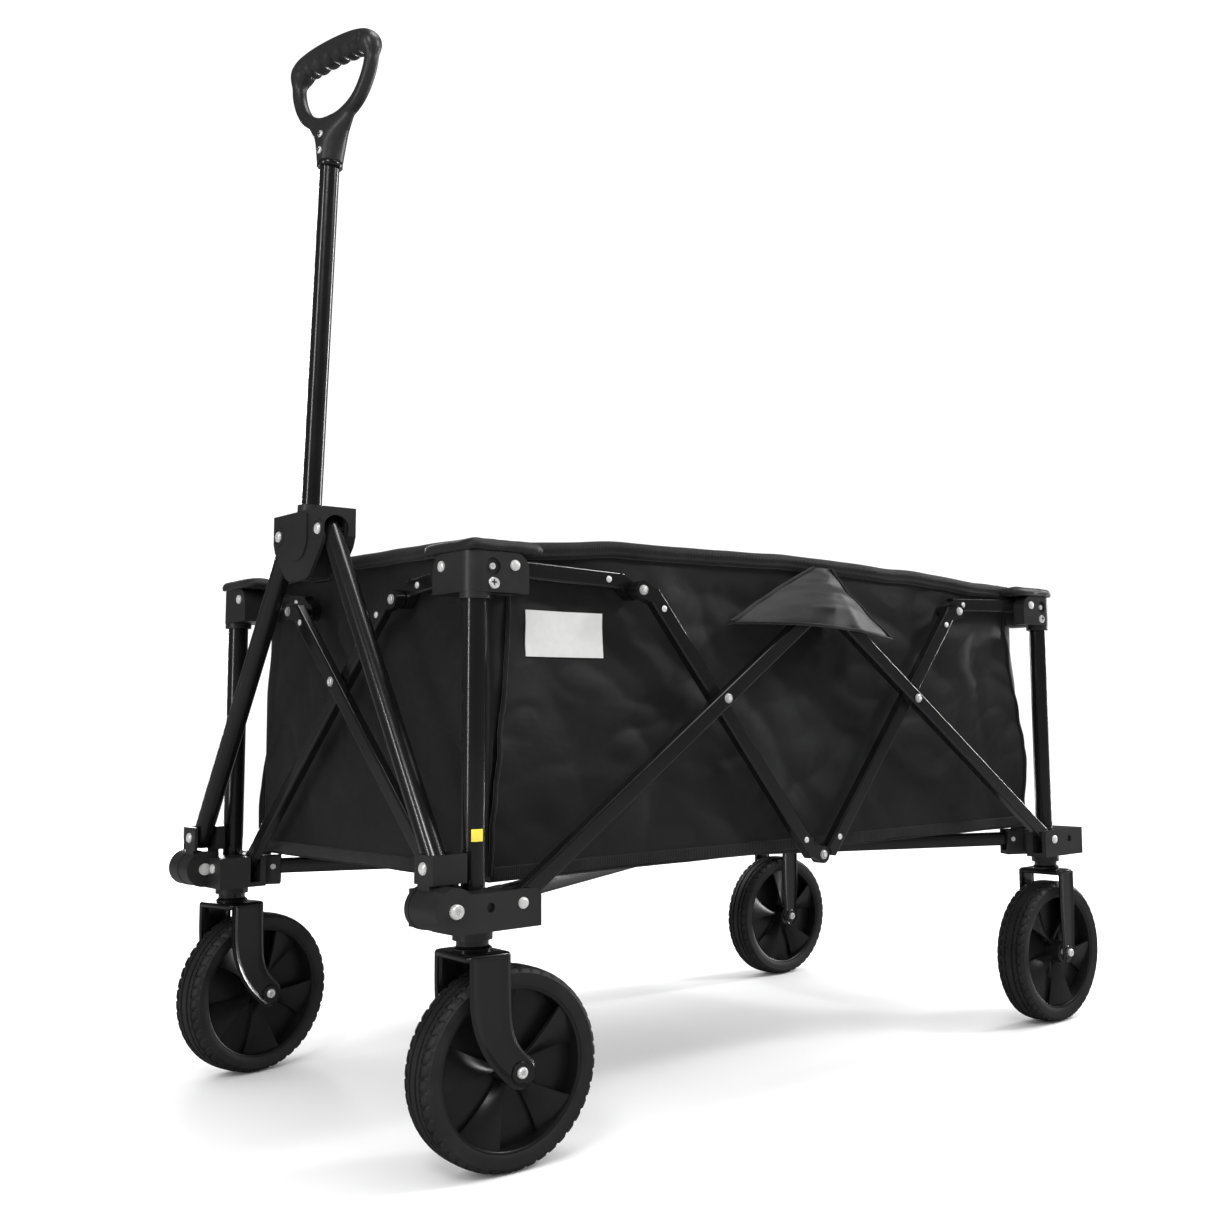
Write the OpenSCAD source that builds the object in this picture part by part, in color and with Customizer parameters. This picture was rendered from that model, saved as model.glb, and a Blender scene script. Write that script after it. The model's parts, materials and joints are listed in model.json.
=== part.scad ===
// Folding utility wagon with a pull handle.
// Frame: +Z up, handle end towards -X, left side towards -Y, origin on the floor
// under the middle of the wagon's box. Millimetres.
//
// Each corner is drawn in its own frame: x runs inwards along the wagon's length,
// y runs inwards along its width, and z is the height above the floor. The other
// three corners are mirror images of that frame.

/* [Frame] */
// Distance between front and rear posts, axis to axis
post_gap_x = 892; // [800:1:950]
// Distance between left and right posts, axis to axis
post_gap_y = 510; // [460:1:560]
// Diameter of a corner post
post_d = 22; // [18:1:22]
// Height of the lower brace pivots
low_pivot_z = 238; // [236:1:240]
// Height of the upper link pivots
high_pivot_z = 545; // [540:1:550]

/* [Braces] */
// Rise of the long side braces from the floor plane, in degrees
side_angle = 35; // [33:0.5:37]
// Distance from a long brace's foot to the rivet where it crosses the short brace
side_cross = 319; // [310:1:325]
// Fall of the short side braces, in degrees
short_angle = 50.5; // [49:0.5:52]
// Rise of the end braces, in degrees
end_angle = 42.4; // [41:0.1:44]
// Height of a brace's section
bar_h = 17; // [15:1:18]
// Wall of the brace tubes
bar_wall = 1.5; // [1:0.5:2]

/* [Wheels] */
// Wheel diameter
wheel_d = 180; // [170:1:180]
// Tyre width
tyre_w = 42; // [36:1:44]
// Trail of the front casters
trail = 32; // [20:1:34]
// Resting turn of the front left caster, in degrees
turn_left = -3; // [-15:1:15]
// Resting turn of the front right caster, in degrees
turn_right = 11; // [-15:1:15]

/* [Handle] */
// Diameter of the two lower handle tubes
leg_d = 21; // [18:1:21]
// Diameter of the handle shaft
shaft_d = 20.6; // [18:0.2:22]
// Length of the shaft above the yoke, up to the grip's neck
shaft_l = 385; // [300:1:420]
// Backward lean of the shaft, in degrees
shaft_lean = 2; // [0:0.1:3]
// Width of the grip
grip_w = 148; // [130:1:150]
// Height of the grip's loop above its neck
grip_h = 124; // [110:1:130]
// Turn of the grip about the shaft, in degrees
grip_turn = 8; // [-15:1:15]

/* [Bag] */
// Height of the bag's underside
bag_z = 252; // [252:1:256]
// Height of the bag's rim
rim_z = 576; // [566:1:580]
// Thickness of the bag's walls
bag_wall = 3; // [2:0.5:4]

/* [Hidden] */
$fn = 48;
half_x = post_gap_x/2;
half_y = post_gap_y/2;
pivot_in = 30;
link_in = 34;
pin_r = 4;
run = 0.05;
cap_r = 9.5;
cap_off = 9.5;
cap_block = 14;
cap_len = 25;
head_r = 5;
head_h = 2.2;
bar_end = 11;

// Layers, as distances from the post plane, negative outwards
long_lay = [-29.5, -16.5];
short_lay = [-15.5, -3.5];
side_link_lay = [2, 13];
end_left_lay = [-12, -1];
end_right_lay = [0, 11];
end_link_lay = [12, 23];

// Side linkage: the long braces meet at the top, the short ones at the bottom
top_reach = (half_x - pivot_in - cap_off*sin(side_angle))/cos(side_angle);
cross_x = pivot_in + side_cross*cos(side_angle);
cross_z = low_pivot_z + side_cross*sin(side_angle);
short_low = (half_x - cross_x - cap_off*sin(short_angle))/cos(short_angle);
short_high = 149.2;
side_joint = [cross_x - short_high*cos(short_angle) - cap_off*sin(short_angle),
              cross_z + short_high*sin(short_angle) - cap_off*cos(short_angle)];
side_link_v = side_joint - [link_in, high_pivot_z];

// End linkage: two braces cross at the middle, each carries a link at its top
end_cross = (half_y - pivot_in)/cos(end_angle);
end_high = 128.9;
end_joint = [2*half_y - (pivot_in + (end_cross + end_high)*cos(end_angle) + cap_off*sin(end_angle)),
             low_pivot_z + (end_cross + end_high)*sin(end_angle) - cap_off*cos(end_angle)];
end_link_v = end_joint - [link_in, high_pivot_z];

// Brackets
top_z0 = 519;
top_z1 = 557;
low_z0 = 216;
low_z1 = 250;
arm_end = 50;

// Casters
wheel_r = wheel_d/2;
fork_z = 196;
fork_in = 28.5;
fork_out = 32.5;
axle_head = 37.5;

// Handle
tilt_x = -40;
tilt_z = 237;
leg_x = -half_x - 37;
leg_foot_z = 272;
leg_top_y = 44;
leg_top_z = 597;
leg_rise = leg_top_z - leg_foot_z;
leg_l = sqrt(pow(half_y - leg_top_y, 2) + pow(leg_rise, 2));
leg_lean = atan2(half_y - leg_top_y, leg_rise);
yoke_top = 619;
yoke_front = [leg_x - 14.5, leg_x - 11];
yoke_rear = [leg_x + 11, leg_x + 21.5];

// Bag and floor
bag_x = half_x - 31.5;
bag_y = half_y - 21.5;
strut_z = 236;
strut_start = [36, 31];
strut_dir = atan2(half_y - strut_start[1], half_x - strut_start[0]);
hub_r = 42;

// Middle of the whole wagon's box, which the origin is set under
mid_x = 15;
mid_y = 2.38;

FL = [-1, -1];
FR = [-1, 1];
RL = [1, -1];
RR = [1, 1];

// ---- Placing ----

// Puts the origin under the middle of the wagon's box
module in_frame() {
    translate([-mid_x, -mid_y, 0]) children();
}

// Draws in the frame of one corner, which is a pair of signs along X and Y
module at_corner(c) {
    in_frame()
        translate([c[0]*half_x, c[1]*half_y, 0])
            mirror([c[0] > 0 ? 1 : 0, 0, 0])
                mirror([0, c[1] > 0 ? 1 : 0, 0])
                    children();
}

// Swaps the corner's two directions, so that side shapes serve the ends too
module along_end() {
    mirror([1, -1, 0]) children();
}

// ---- Shared shapes ----

module rounded_rect(w, h, r) {
    square([w - 2*r, h], center = true);
    square([w, h - 2*r], center = true);
    for (x = [-1, 1], y = [-1, 1])
        translate([x*(w/2 - r), y*(h/2 - r)]) circle(r);
}

// A tube of rounded rectangular section along X, thick across Y
module bar_tube(x0, x1, t) {
    translate([x0, 0, 0])
        rotate([90, 0, 90])
            linear_extrude(x1 - x0)
                difference() {
                    rounded_rect(t, bar_h, 2.5);
                    rounded_rect(t - 2*bar_wall, bar_h - 2*bar_wall, 1.2);
                }
}

// A flat shape drawn in x and z, filling y0 to y1
module slab(y0, y1) {
    translate([0, y1, 0]) rotate([90, 0, 0]) linear_extrude(y1 - y0) children();
}

// A flat shape drawn in y and z, filling x0 to x1
module slab_x(x0, x1) {
    translate([x0, 0, 0]) rotate([90, 0, 90]) linear_extrude(x1 - x0) children();
}

// A round pin along Y
module pin_y(x, z, r, y0, y1) {
    translate([x, y0, z]) rotate([-90, 0, 0]) cylinder(r = r, h = y1 - y0);
}

// A round pin along X
module pin_x(y, z, r, x0, x1) {
    translate([x0, y, z]) rotate([0, 90, 0]) cylinder(r = r, h = x1 - x0);
}

// A domed rivet head that stands out of the plane y towards the sign of dir
module rivet_head(x, z, y, dir) {
    pin_y(x, z, head_r, min(y, y + dir*head_h*0.6), max(y, y + dir*head_h*0.6));
    pin_y(x, z, head_r*0.7, min(y, y + dir*head_h), max(y, y + dir*head_h));
}

// Plastic end of a brace: a plug as thick as the bar, and a tongue y0 to y1 that
// reaches the joint at xp, which lies off the bar's middle line by off
module end_cap(xe, xp, off, t, y0, y1) {
    dir = xp > xe ? 1 : -1;
    translate([dir > 0 ? xe : xe - cap_block, 0, 0])
        rotate([90, 0, 90]) linear_extrude(cap_block) rounded_rect(t, bar_h, 2.5);
    slab(y0, y1) {
        polygon([[xe + dir*8, bar_h/2], [xe + dir*8, -bar_h/2],
                 [xp, off - cap_r], [xp, off + cap_r]]);
        translate([xp, off]) circle(cap_r);
    }
}

function mid(lay) = (lay[0] + lay[1])/2;
function thick(lay) = lay[1] - lay[0];

// ---- Corners ----

module post() {
    color([0.05, 0.05, 0.055])
        translate([0, 0, 229.5])
            difference() {
                cylinder(d = post_d, h = 318);
                translate([0, 0, -1]) cylinder(d = post_d - 3, h = 320);
            }
}

// Outline of a top bracket's arm, with its upper end rounded
module top_arm_outline(x0) {
    corner_r = 16;
    translate([x0, top_z0]) square([arm_end - corner_r - x0, top_z1 - top_z0]);
    translate([arm_end - corner_r - 1, top_z0])
        square([corner_r + 1, top_z1 - top_z0 - corner_r]);
    translate([arm_end - corner_r, top_z1 - corner_r]) circle(corner_r);
}

module top_bracket() {
    color([0.09, 0.09, 0.095])
        difference() {
            union() {
                translate([0, 0, top_z0]) {
                    cylinder(r = 15, h = top_z1 - top_z0);
                    translate([0, -15, 0]) cube([20, 35, top_z1 - top_z0]);
                    translate([-15, 0, 0]) cube([35, 20, top_z1 - top_z0]);
                }
                translate([0, 0, top_z0 - 6]) cylinder(r = 14.5, h = 7);
                slab(-15, side_link_lay[0] - 0.3) top_arm_outline(0);
                slab(side_link_lay[1] + 0.3, 18) top_arm_outline(15);
                along_end() {
                    slab(-15, end_link_lay[0] - 0.3) top_arm_outline(0);
                    slab(end_link_lay[1] + 0.3, 28) top_arm_outline(14);
                }
            }
            translate([0, 0, top_z0 - 7]) cylinder(d = post_d + 0.2, h = 36);
            pin_y(link_in, high_pivot_z, pin_r + run, -16, 19);
            along_end() pin_y(link_in, high_pivot_z, pin_r + run, -16, 29);
            pin_y(10, 543, 8, -16, -12.5);
            pin_y(11, 527, 2.05, -16, -8);
            pin_y(10, 543, 2.05, -16, -8);
        }
}

module bottom_wall_outline(front) {
    wall_r = 8;
    translate([front ? tilt_x : -28, low_z0])
        square([arm_end - wall_r - (front ? tilt_x : -28), low_z1 - low_z0]);
    translate([arm_end - wall_r - 1, low_z0])
        square([wall_r + 1, low_z1 - low_z0 - wall_r]);
    translate([arm_end - wall_r, low_z1 - wall_r]) circle(wall_r);
    if (front) translate([tilt_x, tilt_z]) circle(20);
    else translate([-34, low_z0]) square([8, low_z1 - low_z0]);
}

module ear_outline() {
    translate([tilt_x, tilt_z]) circle(20);
    translate([tilt_x, low_z0 + 1]) square([22, low_z1 - low_z0 - 1]);
}

// The end arm carries the end brace, which lies in another layer on the right
module bottom_end_arm(lay) {
    along_end() {
        slab(-36, lay[0] - 0.5) translate([16, low_z0]) square([arm_end - 16, low_z1 - low_z0]);
        slab(lay[1] + 0.5, lay[1] + 7)
            translate([12, low_z0]) square([arm_end - 12, low_z1 - low_z0]);
        slab(-36, lay[1] + 7) translate([12, low_z0]) square([arm_end - 12, 5]);
    }
}

module strut_lug() {
    translate([strut_start[0], strut_start[1], low_z0])
        rotate([0, 0, strut_dir])
            union() {
                for (y = [-12, 7.6])
                    translate([-14, y, 0]) cube([22, 4.4, low_z1 - low_z0 - 2]);
                translate([-32, -12, 0]) cube([40, 24, 5]);
            }
}

module bottom_bracket(c) {
    front = c[0] < 0;
    lay = c[1] < 0 ? end_left_lay : end_right_lay;
    block_z = low_z1 - low_z0;
    color([0.09, 0.09, 0.095])
        difference() {
            union() {
                translate([-20, -30.5, low_z0]) cube([35.5, 46, block_z]);
                translate([15, -6.5, low_z0]) cube([12, 22, block_z - 2]);
                slab(-36, -30) bottom_wall_outline(front);
                slab(-16, -6) translate([15, low_z0]) square([arm_end - 15, block_z]);
                slab(-36, -6) translate([15, low_z0]) square([arm_end - 15, 5]);
                bottom_end_arm(lay);
                strut_lug();
                translate([0, 0, low_z0 - 10]) cylinder(r = 18, h = 11);
                if (front) {
                    slab(-36, -10.5) ear_outline();
                    slab(10.5, 17) ear_outline();
                } else {
                    translate([-34, -31, low_z0]) cube([15, 46, block_z]);
                }
            }
            translate([0, 0, 229]) cylinder(d = post_d + 0.2, h = 30);
            translate([0, 0, low_z0 - 11]) cylinder(r = 6 + run, h = 23);
            pin_y(pivot_in, low_pivot_z, pin_r + run, -37, -5);
            pin_y(pivot_in, low_pivot_z, head_r + 0.3, -6, -3);
            along_end() {
                pin_y(pivot_in, low_pivot_z, pin_r + run, -37, 20);
                pin_y(pivot_in, low_pivot_z, head_r + 0.3, lay[1] + 7, lay[1] + 10);
            }
            pin_y(-4, low_pivot_z - 1, 4.2, -37, -32);
            translate([strut_start[0], strut_start[1], 0])
                rotate([0, 0, strut_dir]) pin_y(0, strut_z, 3 + run, -13, 13);
            if (front) pin_y(tilt_x, tilt_z, 5 + run, -37, 18);
            if (front) pin_y(tilt_x, tilt_z, 6.8, 17, 21);
        }
}

// Rivet or pin with a head at each end, in the corner's side direction
module headed_pin(x, z, y0, y1) {
    pin_y(x, z, pin_r, y0, y1);
    rivet_head(x, z, y0, -1);
    rivet_head(x, z, y1, 1);
}

module screw(x, z, y, head) {
    difference() {
        pin_y(x, z, head, y - 1.8, y);
        translate([x, y - 1.8, z]) cube([1, 1.6, head*1.3], center = true);
        translate([x, y - 1.8, z]) cube([head*1.3, 1.6, 1], center = true);
    }
    pin_y(x, z, 2, y, y + 4);
}

// Everything bright that is fixed to one corner
module pins(c) {
    lay = c[1] < 0 ? end_left_lay : end_right_lay;
    color([0.8, 0.8, 0.8]) {
        headed_pin(pivot_in, low_pivot_z, -36, -6);
        headed_pin(link_in, high_pivot_z, -15, 18);
        along_end() {
            headed_pin(pivot_in, low_pivot_z, -36, lay[1] + 7);
            headed_pin(link_in, high_pivot_z, -15, 28);
        }
        screw(11, 527, -15, 5);
        screw(10, 543, -12.5, 3);
        translate([strut_start[0], strut_start[1], 0])
            rotate([0, 0, strut_dir]) pin_y(0, strut_z, 3, -12, 12);
        if (c[0] < 0) {
            pin_y(tilt_x, tilt_z, 5, -36, 17);
            pin_y(tilt_x, tilt_z, 6.5, -38.5, -36);
            pin_y(tilt_x, tilt_z, 6.5, 17, 19.5);
        }
    }
}

// ---- Braces and links ----

// A long brace runs from the bottom bracket up to the middle of the side. The front
// one carries the top joint's pin, and both carry the pin of their crossing.
module long_brace(c) {
    front = c[0] < 0;
    t = thick(long_lay);
    split = mid(long_lay);
    at_y = long_lay[0] - split;
    color([0.04, 0.04, 0.045])
        translate([pivot_in, split, low_pivot_z])
            rotate([0, -side_angle, 0])
                difference() {
                    union() {
                        bar_tube(-bar_end, top_reach - cap_len, t);
                        end_cap(top_reach - cap_len, top_reach, -cap_off, t,
                                front ? at_y : 0.3, front ? -0.3 : -at_y);
                        pin_y(side_cross, 0, pin_r, at_y, short_lay[1] - split);
                        rivet_head(side_cross, 0, at_y, -1);
                        pin_y(side_cross, 0, head_r, short_lay[1] - split + 0.3,
                              short_lay[1] - split + 1.8);
                        pin_y(side_cross, 0, pin_r, short_lay[1] - split - 1,
                              short_lay[1] - split + 1);
                        if (front) {
                            pin_y(top_reach, -cap_off, pin_r, at_y, -at_y);
                            rivet_head(top_reach, -cap_off, at_y, -1);
                        }
                    }
                    pin_y(0, 0, pin_r + run, at_y - 1, -at_y + 1);
                    if (!front)
                        pin_y(top_reach, -cap_off, pin_r + run, 0, -at_y + 1);
                }
}

// A short brace hangs on the crossing: its upper end carries the side link's joint,
// and its lower end meets the other short brace at the bottom of the side
module short_brace(c) {
    front = c[0] < 0;
    t = thick(short_lay);
    y0 = -t/2;
    color([0.04, 0.04, 0.045])
        translate([cross_x, mid(short_lay), cross_z])
            rotate([0, short_angle, 0])
                difference() {
                    union() {
                        bar_tube(cap_len - short_high, short_low - cap_len, t);
                        end_cap(short_low - cap_len, short_low, cap_off, t,
                                front ? y0 : 0.3, front ? -0.3 : -y0);
                        end_cap(cap_len - short_high, -short_high, -cap_off, t, y0, -y0);
                        rivet_head(-short_high, -cap_off, y0, -1);
                        if (front) rivet_head(short_low, cap_off, y0, -1);
                        pin_y(-short_high, -cap_off, pin_r, -y0 - 1, -y0 + 4);
                    }
                    pin_y(0, 0, pin_r + run, y0 - 1, -y0 + 1);
                }
}

// An end brace runs from a bottom bracket, over the middle, to the far link
module end_brace(c) {
    left = c[1] < 0;
    lay = left ? end_left_lay : end_right_lay;
    t = thick(lay);
    y0 = -t/2;
    reach = end_cross + end_high;
    across = end_right_lay[1] - mid(end_left_lay);
    color([0.04, 0.04, 0.045])
        along_end()
            translate([pivot_in, mid(lay), low_pivot_z])
                rotate([0, -end_angle, 0])
                    difference() {
                        union() {
                            bar_tube(-bar_end, reach - cap_len, t);
                            end_cap(reach - cap_len, reach, -cap_off, t, y0, -y0);
                            rivet_head(reach, -cap_off, y0, -1);
                            pin_y(reach, -cap_off, pin_r, -y0 - 1, end_link_lay[0] - mid(lay) - 0.4);
                            if (left) {
                                pin_y(end_cross, 0, pin_r, y0, across + 1);
                                rivet_head(end_cross, 0, y0, -1);
                                pin_y(end_cross, 0, head_r, across + 0.3, across + 1.8);
                            }
                        }
                        pin_y(0, 0, pin_r + run, y0 - 1, -y0 + 1);
                        if (!left) pin_y(end_cross, 0, pin_r + run, y0 - 1, -y0 + 1);
                    }
}

// A link runs from a top bracket to the upper joint of a brace, v away from its pin
module link(v, lay) {
    t = thick(lay);
    l = sqrt(v[0]*v[0] + v[1]*v[1] - cap_off*cap_off);
    fall = -atan2(v[1], v[0]) - atan2(cap_off, l);
    color([0.04, 0.04, 0.045])
        translate([link_in, mid(lay), high_pivot_z])
            rotate([0, fall, 0])
                difference() {
                    union() {
                        bar_tube(-9, l - cap_len, t);
                        end_cap(l - cap_len, l, -cap_off, t, -t/2, t/2);
                        rivet_head(l, -cap_off, t/2, 1);
                    }
                    pin_y(0, 0, pin_r + run, -t/2 - 1, t/2 + 1);
                }
}

module side_link() {
    link(side_link_v, side_link_lay);
}

module end_link() {
    along_end() link(end_link_v, end_link_lay);
}

// ---- Wheels ----

// Side outline of a fork's leg, swept back by the trail
function leg_side(back, top, foot, s) =
    [for (i = [0:8])
        let (t = s > 0 ? i/8 : 1 - i/8)
            [back*t*t*(3 - 2*t) + s*(top*(1 - t) + foot*t), 194 - t*(194 - wheel_r)]];

module fork(back, top, foot) {
    color([0.06, 0.06, 0.065]) {
        difference() {
            union() {
                translate([0, 0, fork_z - 4])
                    linear_extrude(4) rounded_rect(2*top + 6, 2*fork_out, 5);
                for (s = [-1, 1])
                    slab(s > 0 ? fork_in : -fork_out, s > 0 ? fork_out : -fork_in) {
                        polygon(concat(leg_side(back, top, foot, 1), leg_side(back, top, foot, -1)));
                        translate([back, wheel_r]) circle(foot + 1);
                    }
                translate([0, 0, fork_z - 1]) cylinder(r = 15, h = 10.7);
                translate([0, 0, fork_z - 10]) cylinder(r = 6, h = 40);
                translate([0, 0, fork_z - 10]) cylinder(r = 9, h = 7, $fn = 6);
                pin_y(back, wheel_r, pin_r, -fork_out - 1, fork_out + 1);
                for (s = [-1, 1])
                    pin_y(back, wheel_r, 7, s > 0 ? fork_out : -axle_head,
                          s > 0 ? axle_head : -fork_out);
            }
        }
    }
}

// A wheel part drawn about Z, placed on its axle along Y
module on_axle(back) {
    translate([back, 0, wheel_r]) rotate([90, 0, 0]) children();
}

module tyre_ring() {
    color([0.03, 0.03, 0.03])
        rotate_extrude($fn = 96)
            difference() {
                translate([wheel_r - 9, 0]) rounded_rect(18, tyre_w, 6);
                for (y = [-5, 5])
                    translate([wheel_r, y]) square([4, 2.4], center = true);
            }
}

// A barrel, a flat web and five tilted blades round the hub. phase turns the blades, seen
// from the wagon's left, anticlockwise from +X.
module rim_wheel(phase) {
    barrel_r = wheel_r - 18.05;
    color([0.07, 0.07, 0.075])
        difference() {
            union() {
                rotate_extrude($fn = 96) {
                    translate([barrel_r - 5, -17]) square([5, 34]);
                    translate([5, -24.5]) square([9, 49]);
                    translate([6, -2]) square([barrel_r - 8, 4]);
                }
                for (i = [0:4])
                    rotate([0, 0, phase + 72*i])
                        translate([40.5, 0, 0])
                            rotate([35, 0, 0]) cube([56, 30, 3.5], center = true);
            }
            translate([0, 0, -30]) cylinder(r = pin_r + run, h = 60);
            rotate_extrude() translate([0, -24.5]) square([5.5, 2]);
        }
}

// Draws at a corner with no mirror image, turned about the post
module caster_at(c, turn) {
    in_frame()
        translate([c[0]*half_x, c[1]*half_y, 0])
            rotate([0, 0, turn])
                children();
}

// ---- Handle ----

module knuckle(side) {
    color([0.09, 0.09, 0.095])
        in_frame()
            translate([0, side*half_y, 0])
                difference() {
                    union() {
                        slab(-10.2, 10.2) {
                            translate([-half_x + tilt_x, tilt_z]) circle(19.5);
                            translate([-half_x + tilt_x - 11, tilt_z]) square([30, 24]);
                        }
                        translate([yoke_front[0], side < 0 ? -16.5 : -15, 258])
                            cube([yoke_rear[1] - yoke_front[0] - 1, 31.5, 26]);
                    }
                    translate([leg_x - 11, side < 0 ? -13.2 : -18.8, leg_foot_z - 17])
                        cube([22, 32, 40]);
                    pin_x(0, leg_foot_z, pin_r + run, leg_x - 16, leg_x + 22);
                    pin_y(-half_x + tilt_x, tilt_z, 5 + run, -11, 11);
                }
}

// The left leg carries both its pins; the right one's top is the open pivot
module handle_leg(side) {
    color([0.04, 0.04, 0.045])
        in_frame()
            translate([leg_x, side*half_y, leg_foot_z])
                rotate([side*leg_lean, 0, 0])
                    difference() {
                        union() {
                            translate([0, 0, -6])
                                difference() {
                                    cylinder(d = leg_d, h = leg_l + 12.5);
                                    translate([0, 0, -1]) cylinder(d = leg_d - 4, h = leg_l + 15);
                                }
                            pin_x(0, 0, pin_r, yoke_front[0] - leg_x, yoke_rear[1] - leg_x - 1);
                            rotate([0, 0, 90]) {
                                rivet_head(0, 0, leg_x - yoke_front[0], 1);
                            }
                        }
                        if (side < 0) pin_x(0, leg_l, pin_r + run, -16, 16);
                    }
}

module yoke_outline() {
    polygon([[-56, yoke_top], [-56, 590], [-52, 580], [-28, 552], [-20, 548],
             [20, 548], [28, 552], [52, 580], [56, 590], [56, yoke_top]]);
}

module lean_shaft() {
    in_frame()
        translate([leg_x, 0, yoke_top])
            rotate([0, shaft_lean, 0]) children();
}

module yoke() {
    color([0.09, 0.09, 0.095])
        difference() {
            union() {
                in_frame() {
                    slab_x(yoke_front[0], yoke_front[1]) yoke_outline();
                    slab_x(yoke_rear[0], yoke_rear[1]) yoke_outline();
                    translate([yoke_front[0], -20, 549])
                        cube([yoke_rear[1] - yoke_front[0], 40, yoke_top - 549]);
                    translate([yoke_front[0], -56, yoke_top - 6])
                        cube([yoke_rear[1] - yoke_front[0], 112, 6]);
                    for (y = [-56, 52.5])
                        translate([yoke_front[0], y, leg_top_z])
                            cube([yoke_rear[1] - yoke_front[0], 3.5, yoke_top - leg_top_z]);
                    slab_x(yoke_front[0] - 1.5, yoke_front[0] + 1) {
                        translate([0, 590]) circle(22);
                        translate([-22, 590]) square([44, yoke_top - 594]);
                    }
                    pin_x(-leg_top_y, leg_top_z, pin_r, yoke_front[0], yoke_rear[1]);
                    for (y = [-leg_top_y, leg_top_y])
                        translate([0, y, 0]) rotate([0, 0, 90])
                            rivet_head(0, leg_top_z, -yoke_front[0], 1);
                }
                lean_shaft() translate([0, 0, -1]) cylinder(r = 14, h = 8);
            }
            lean_shaft() translate([0, 0, -45]) cylinder(d = shaft_d + 0.2, h = 60);
            in_frame() for (y = [-57, 52]) pin_y(leg_x, leg_top_z, 13.8, y, y + 5);
        }
}

module shaft() {
    color([0.03, 0.03, 0.035])
        lean_shaft()
            translate([0, 0, -44])
                difference() {
                    cylinder(d = shaft_d, h = shaft_l + 44 + 40);
                    translate([0, 0, -1]) cylinder(d = shaft_d - 4, h = shaft_l + 90);
                }
}

// Places a shape on the shaft's top end, turned like the grip
module on_grip() {
    lean_shaft()
        translate([0, 0, shaft_l]) rotate([0, 0, grip_turn]) children();
}

// The grip is a D-shaped loop in the y-z plane on a round neck
module grip_outline(inset) {
    top_r = 26;
    low_r = 44;
    w = grip_w/2 - inset;
    hull() {
        for (s = [-1, 1]) {
            translate([s*(grip_w/2 - top_r), grip_h - top_r + 2]) circle(top_r - inset, $fn = 32);
            translate([s*(w - low_r + inset - 6), 66]) circle(low_r - inset, $fn = 32);
        }
        if (inset == 0) translate([0, 12]) circle(15, $fn = 32);
    }
}

module grip() {
    color([0.1, 0.1, 0.105])
        on_grip()
            difference() {
                union() {
                    slab_x(-14, 14)
                        difference() {
                            grip_outline(0);
                            grip_outline(19);
                        }
                    cylinder(r1 = 13.5, r2 = 18, h = 30, $fn = 48);
                }
                translate([0, 0, -4]) cylinder(d = shaft_d + 0.2, h = 45);
                for (z = [14, 30]) pin_x(0, z, 2.55, -20, -9);
            }
}

module grip_screws() {
    color([0.8, 0.8, 0.8])
        on_grip()
            for (z = [14, 30]) {
                pin_x(0, z, 2.5, -18, -11);
                pin_x(0, z, 4.5, -19.5, -17.8);
            }
}

// ---- Floor and bag ----

module floor_struts(side) {
    strut_w = 14;
    color([0.04, 0.04, 0.045]) {
        for (c = [[-1, side], [1, side]])
            at_corner(c)
                translate([strut_start[0], strut_start[1], strut_z])
                    rotate([0, 0, strut_dir])
                        difference() {
                            bar_tube(-8, norm([half_x - strut_start[0], half_y - strut_start[1]])
                                     - hub_r + 1, strut_w);
                            pin_y(0, 0, 3 + run, -13, 13);
                        }
        in_frame()
            difference() {
                translate([0, 0, strut_z - 11]) cylinder(r = hub_r, h = 22);
                translate([-hub_r - 1, side > 0 ? -hub_r - 1 : -0.4, strut_z - 12])
                    cube([2*hub_r + 2, hub_r + 1.4, 24]);
            }
    }
}

module floor_board() {
    panel = (2*bag_x - 10)/4;
    color([0.06, 0.06, 0.065])
        in_frame()
            for (i = [0:3])
                translate([-bag_x + 5 + i*panel + 0.5, -bag_y + 5, bag_z + bag_wall + 0.5])
                    cube([panel - 1, 2*bag_y - 10, 5]);
}

module bag() {
    floor_z = bag_z + bag_wall;
    color([0.05, 0.05, 0.055])
        in_frame()
            difference() {
                translate([-bag_x, -bag_y, bag_z]) cube([2*bag_x, 2*bag_y, rim_z - bag_z]);
                translate([bag_wall - bag_x, bag_wall - bag_y, floor_z])
                    cube([2*(bag_x - bag_wall), 2*(bag_y - bag_wall), rim_z]);
            }
}

// ---- Nodes ----

at_corner(FL) post();  // post_front_left
at_corner(FR) post();  // post_front_right
at_corner(RL) post();  // post_rear_left
at_corner(RR) post();  // post_rear_right
at_corner(FL) top_bracket();  // top_bracket_front_left
at_corner(FR) top_bracket();  // top_bracket_front_right
at_corner(RL) top_bracket();  // top_bracket_rear_left
at_corner(RR) top_bracket();  // top_bracket_rear_right
at_corner(FL) bottom_bracket(FL);  // bottom_bracket_front_left
at_corner(FR) bottom_bracket(FR);  // bottom_bracket_front_right
at_corner(RL) bottom_bracket(RL);  // bottom_bracket_rear_left
at_corner(RR) bottom_bracket(RR);  // bottom_bracket_rear_right
at_corner(FL) pins(FL);  // pins_front_left
at_corner(FR) pins(FR);  // pins_front_right
at_corner(RL) pins(RL);  // pins_rear_left
at_corner(RR) pins(RR);  // pins_rear_right
at_corner(FL) long_brace(FL);  // long_brace_front_left
at_corner(FR) long_brace(FR);  // long_brace_front_right
at_corner(RL) long_brace(RL);  // long_brace_rear_left
at_corner(RR) long_brace(RR);  // long_brace_rear_right
at_corner(FL) short_brace(FL);  // short_brace_front_left
at_corner(FR) short_brace(FR);  // short_brace_front_right
at_corner(RL) short_brace(RL);  // short_brace_rear_left
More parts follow.
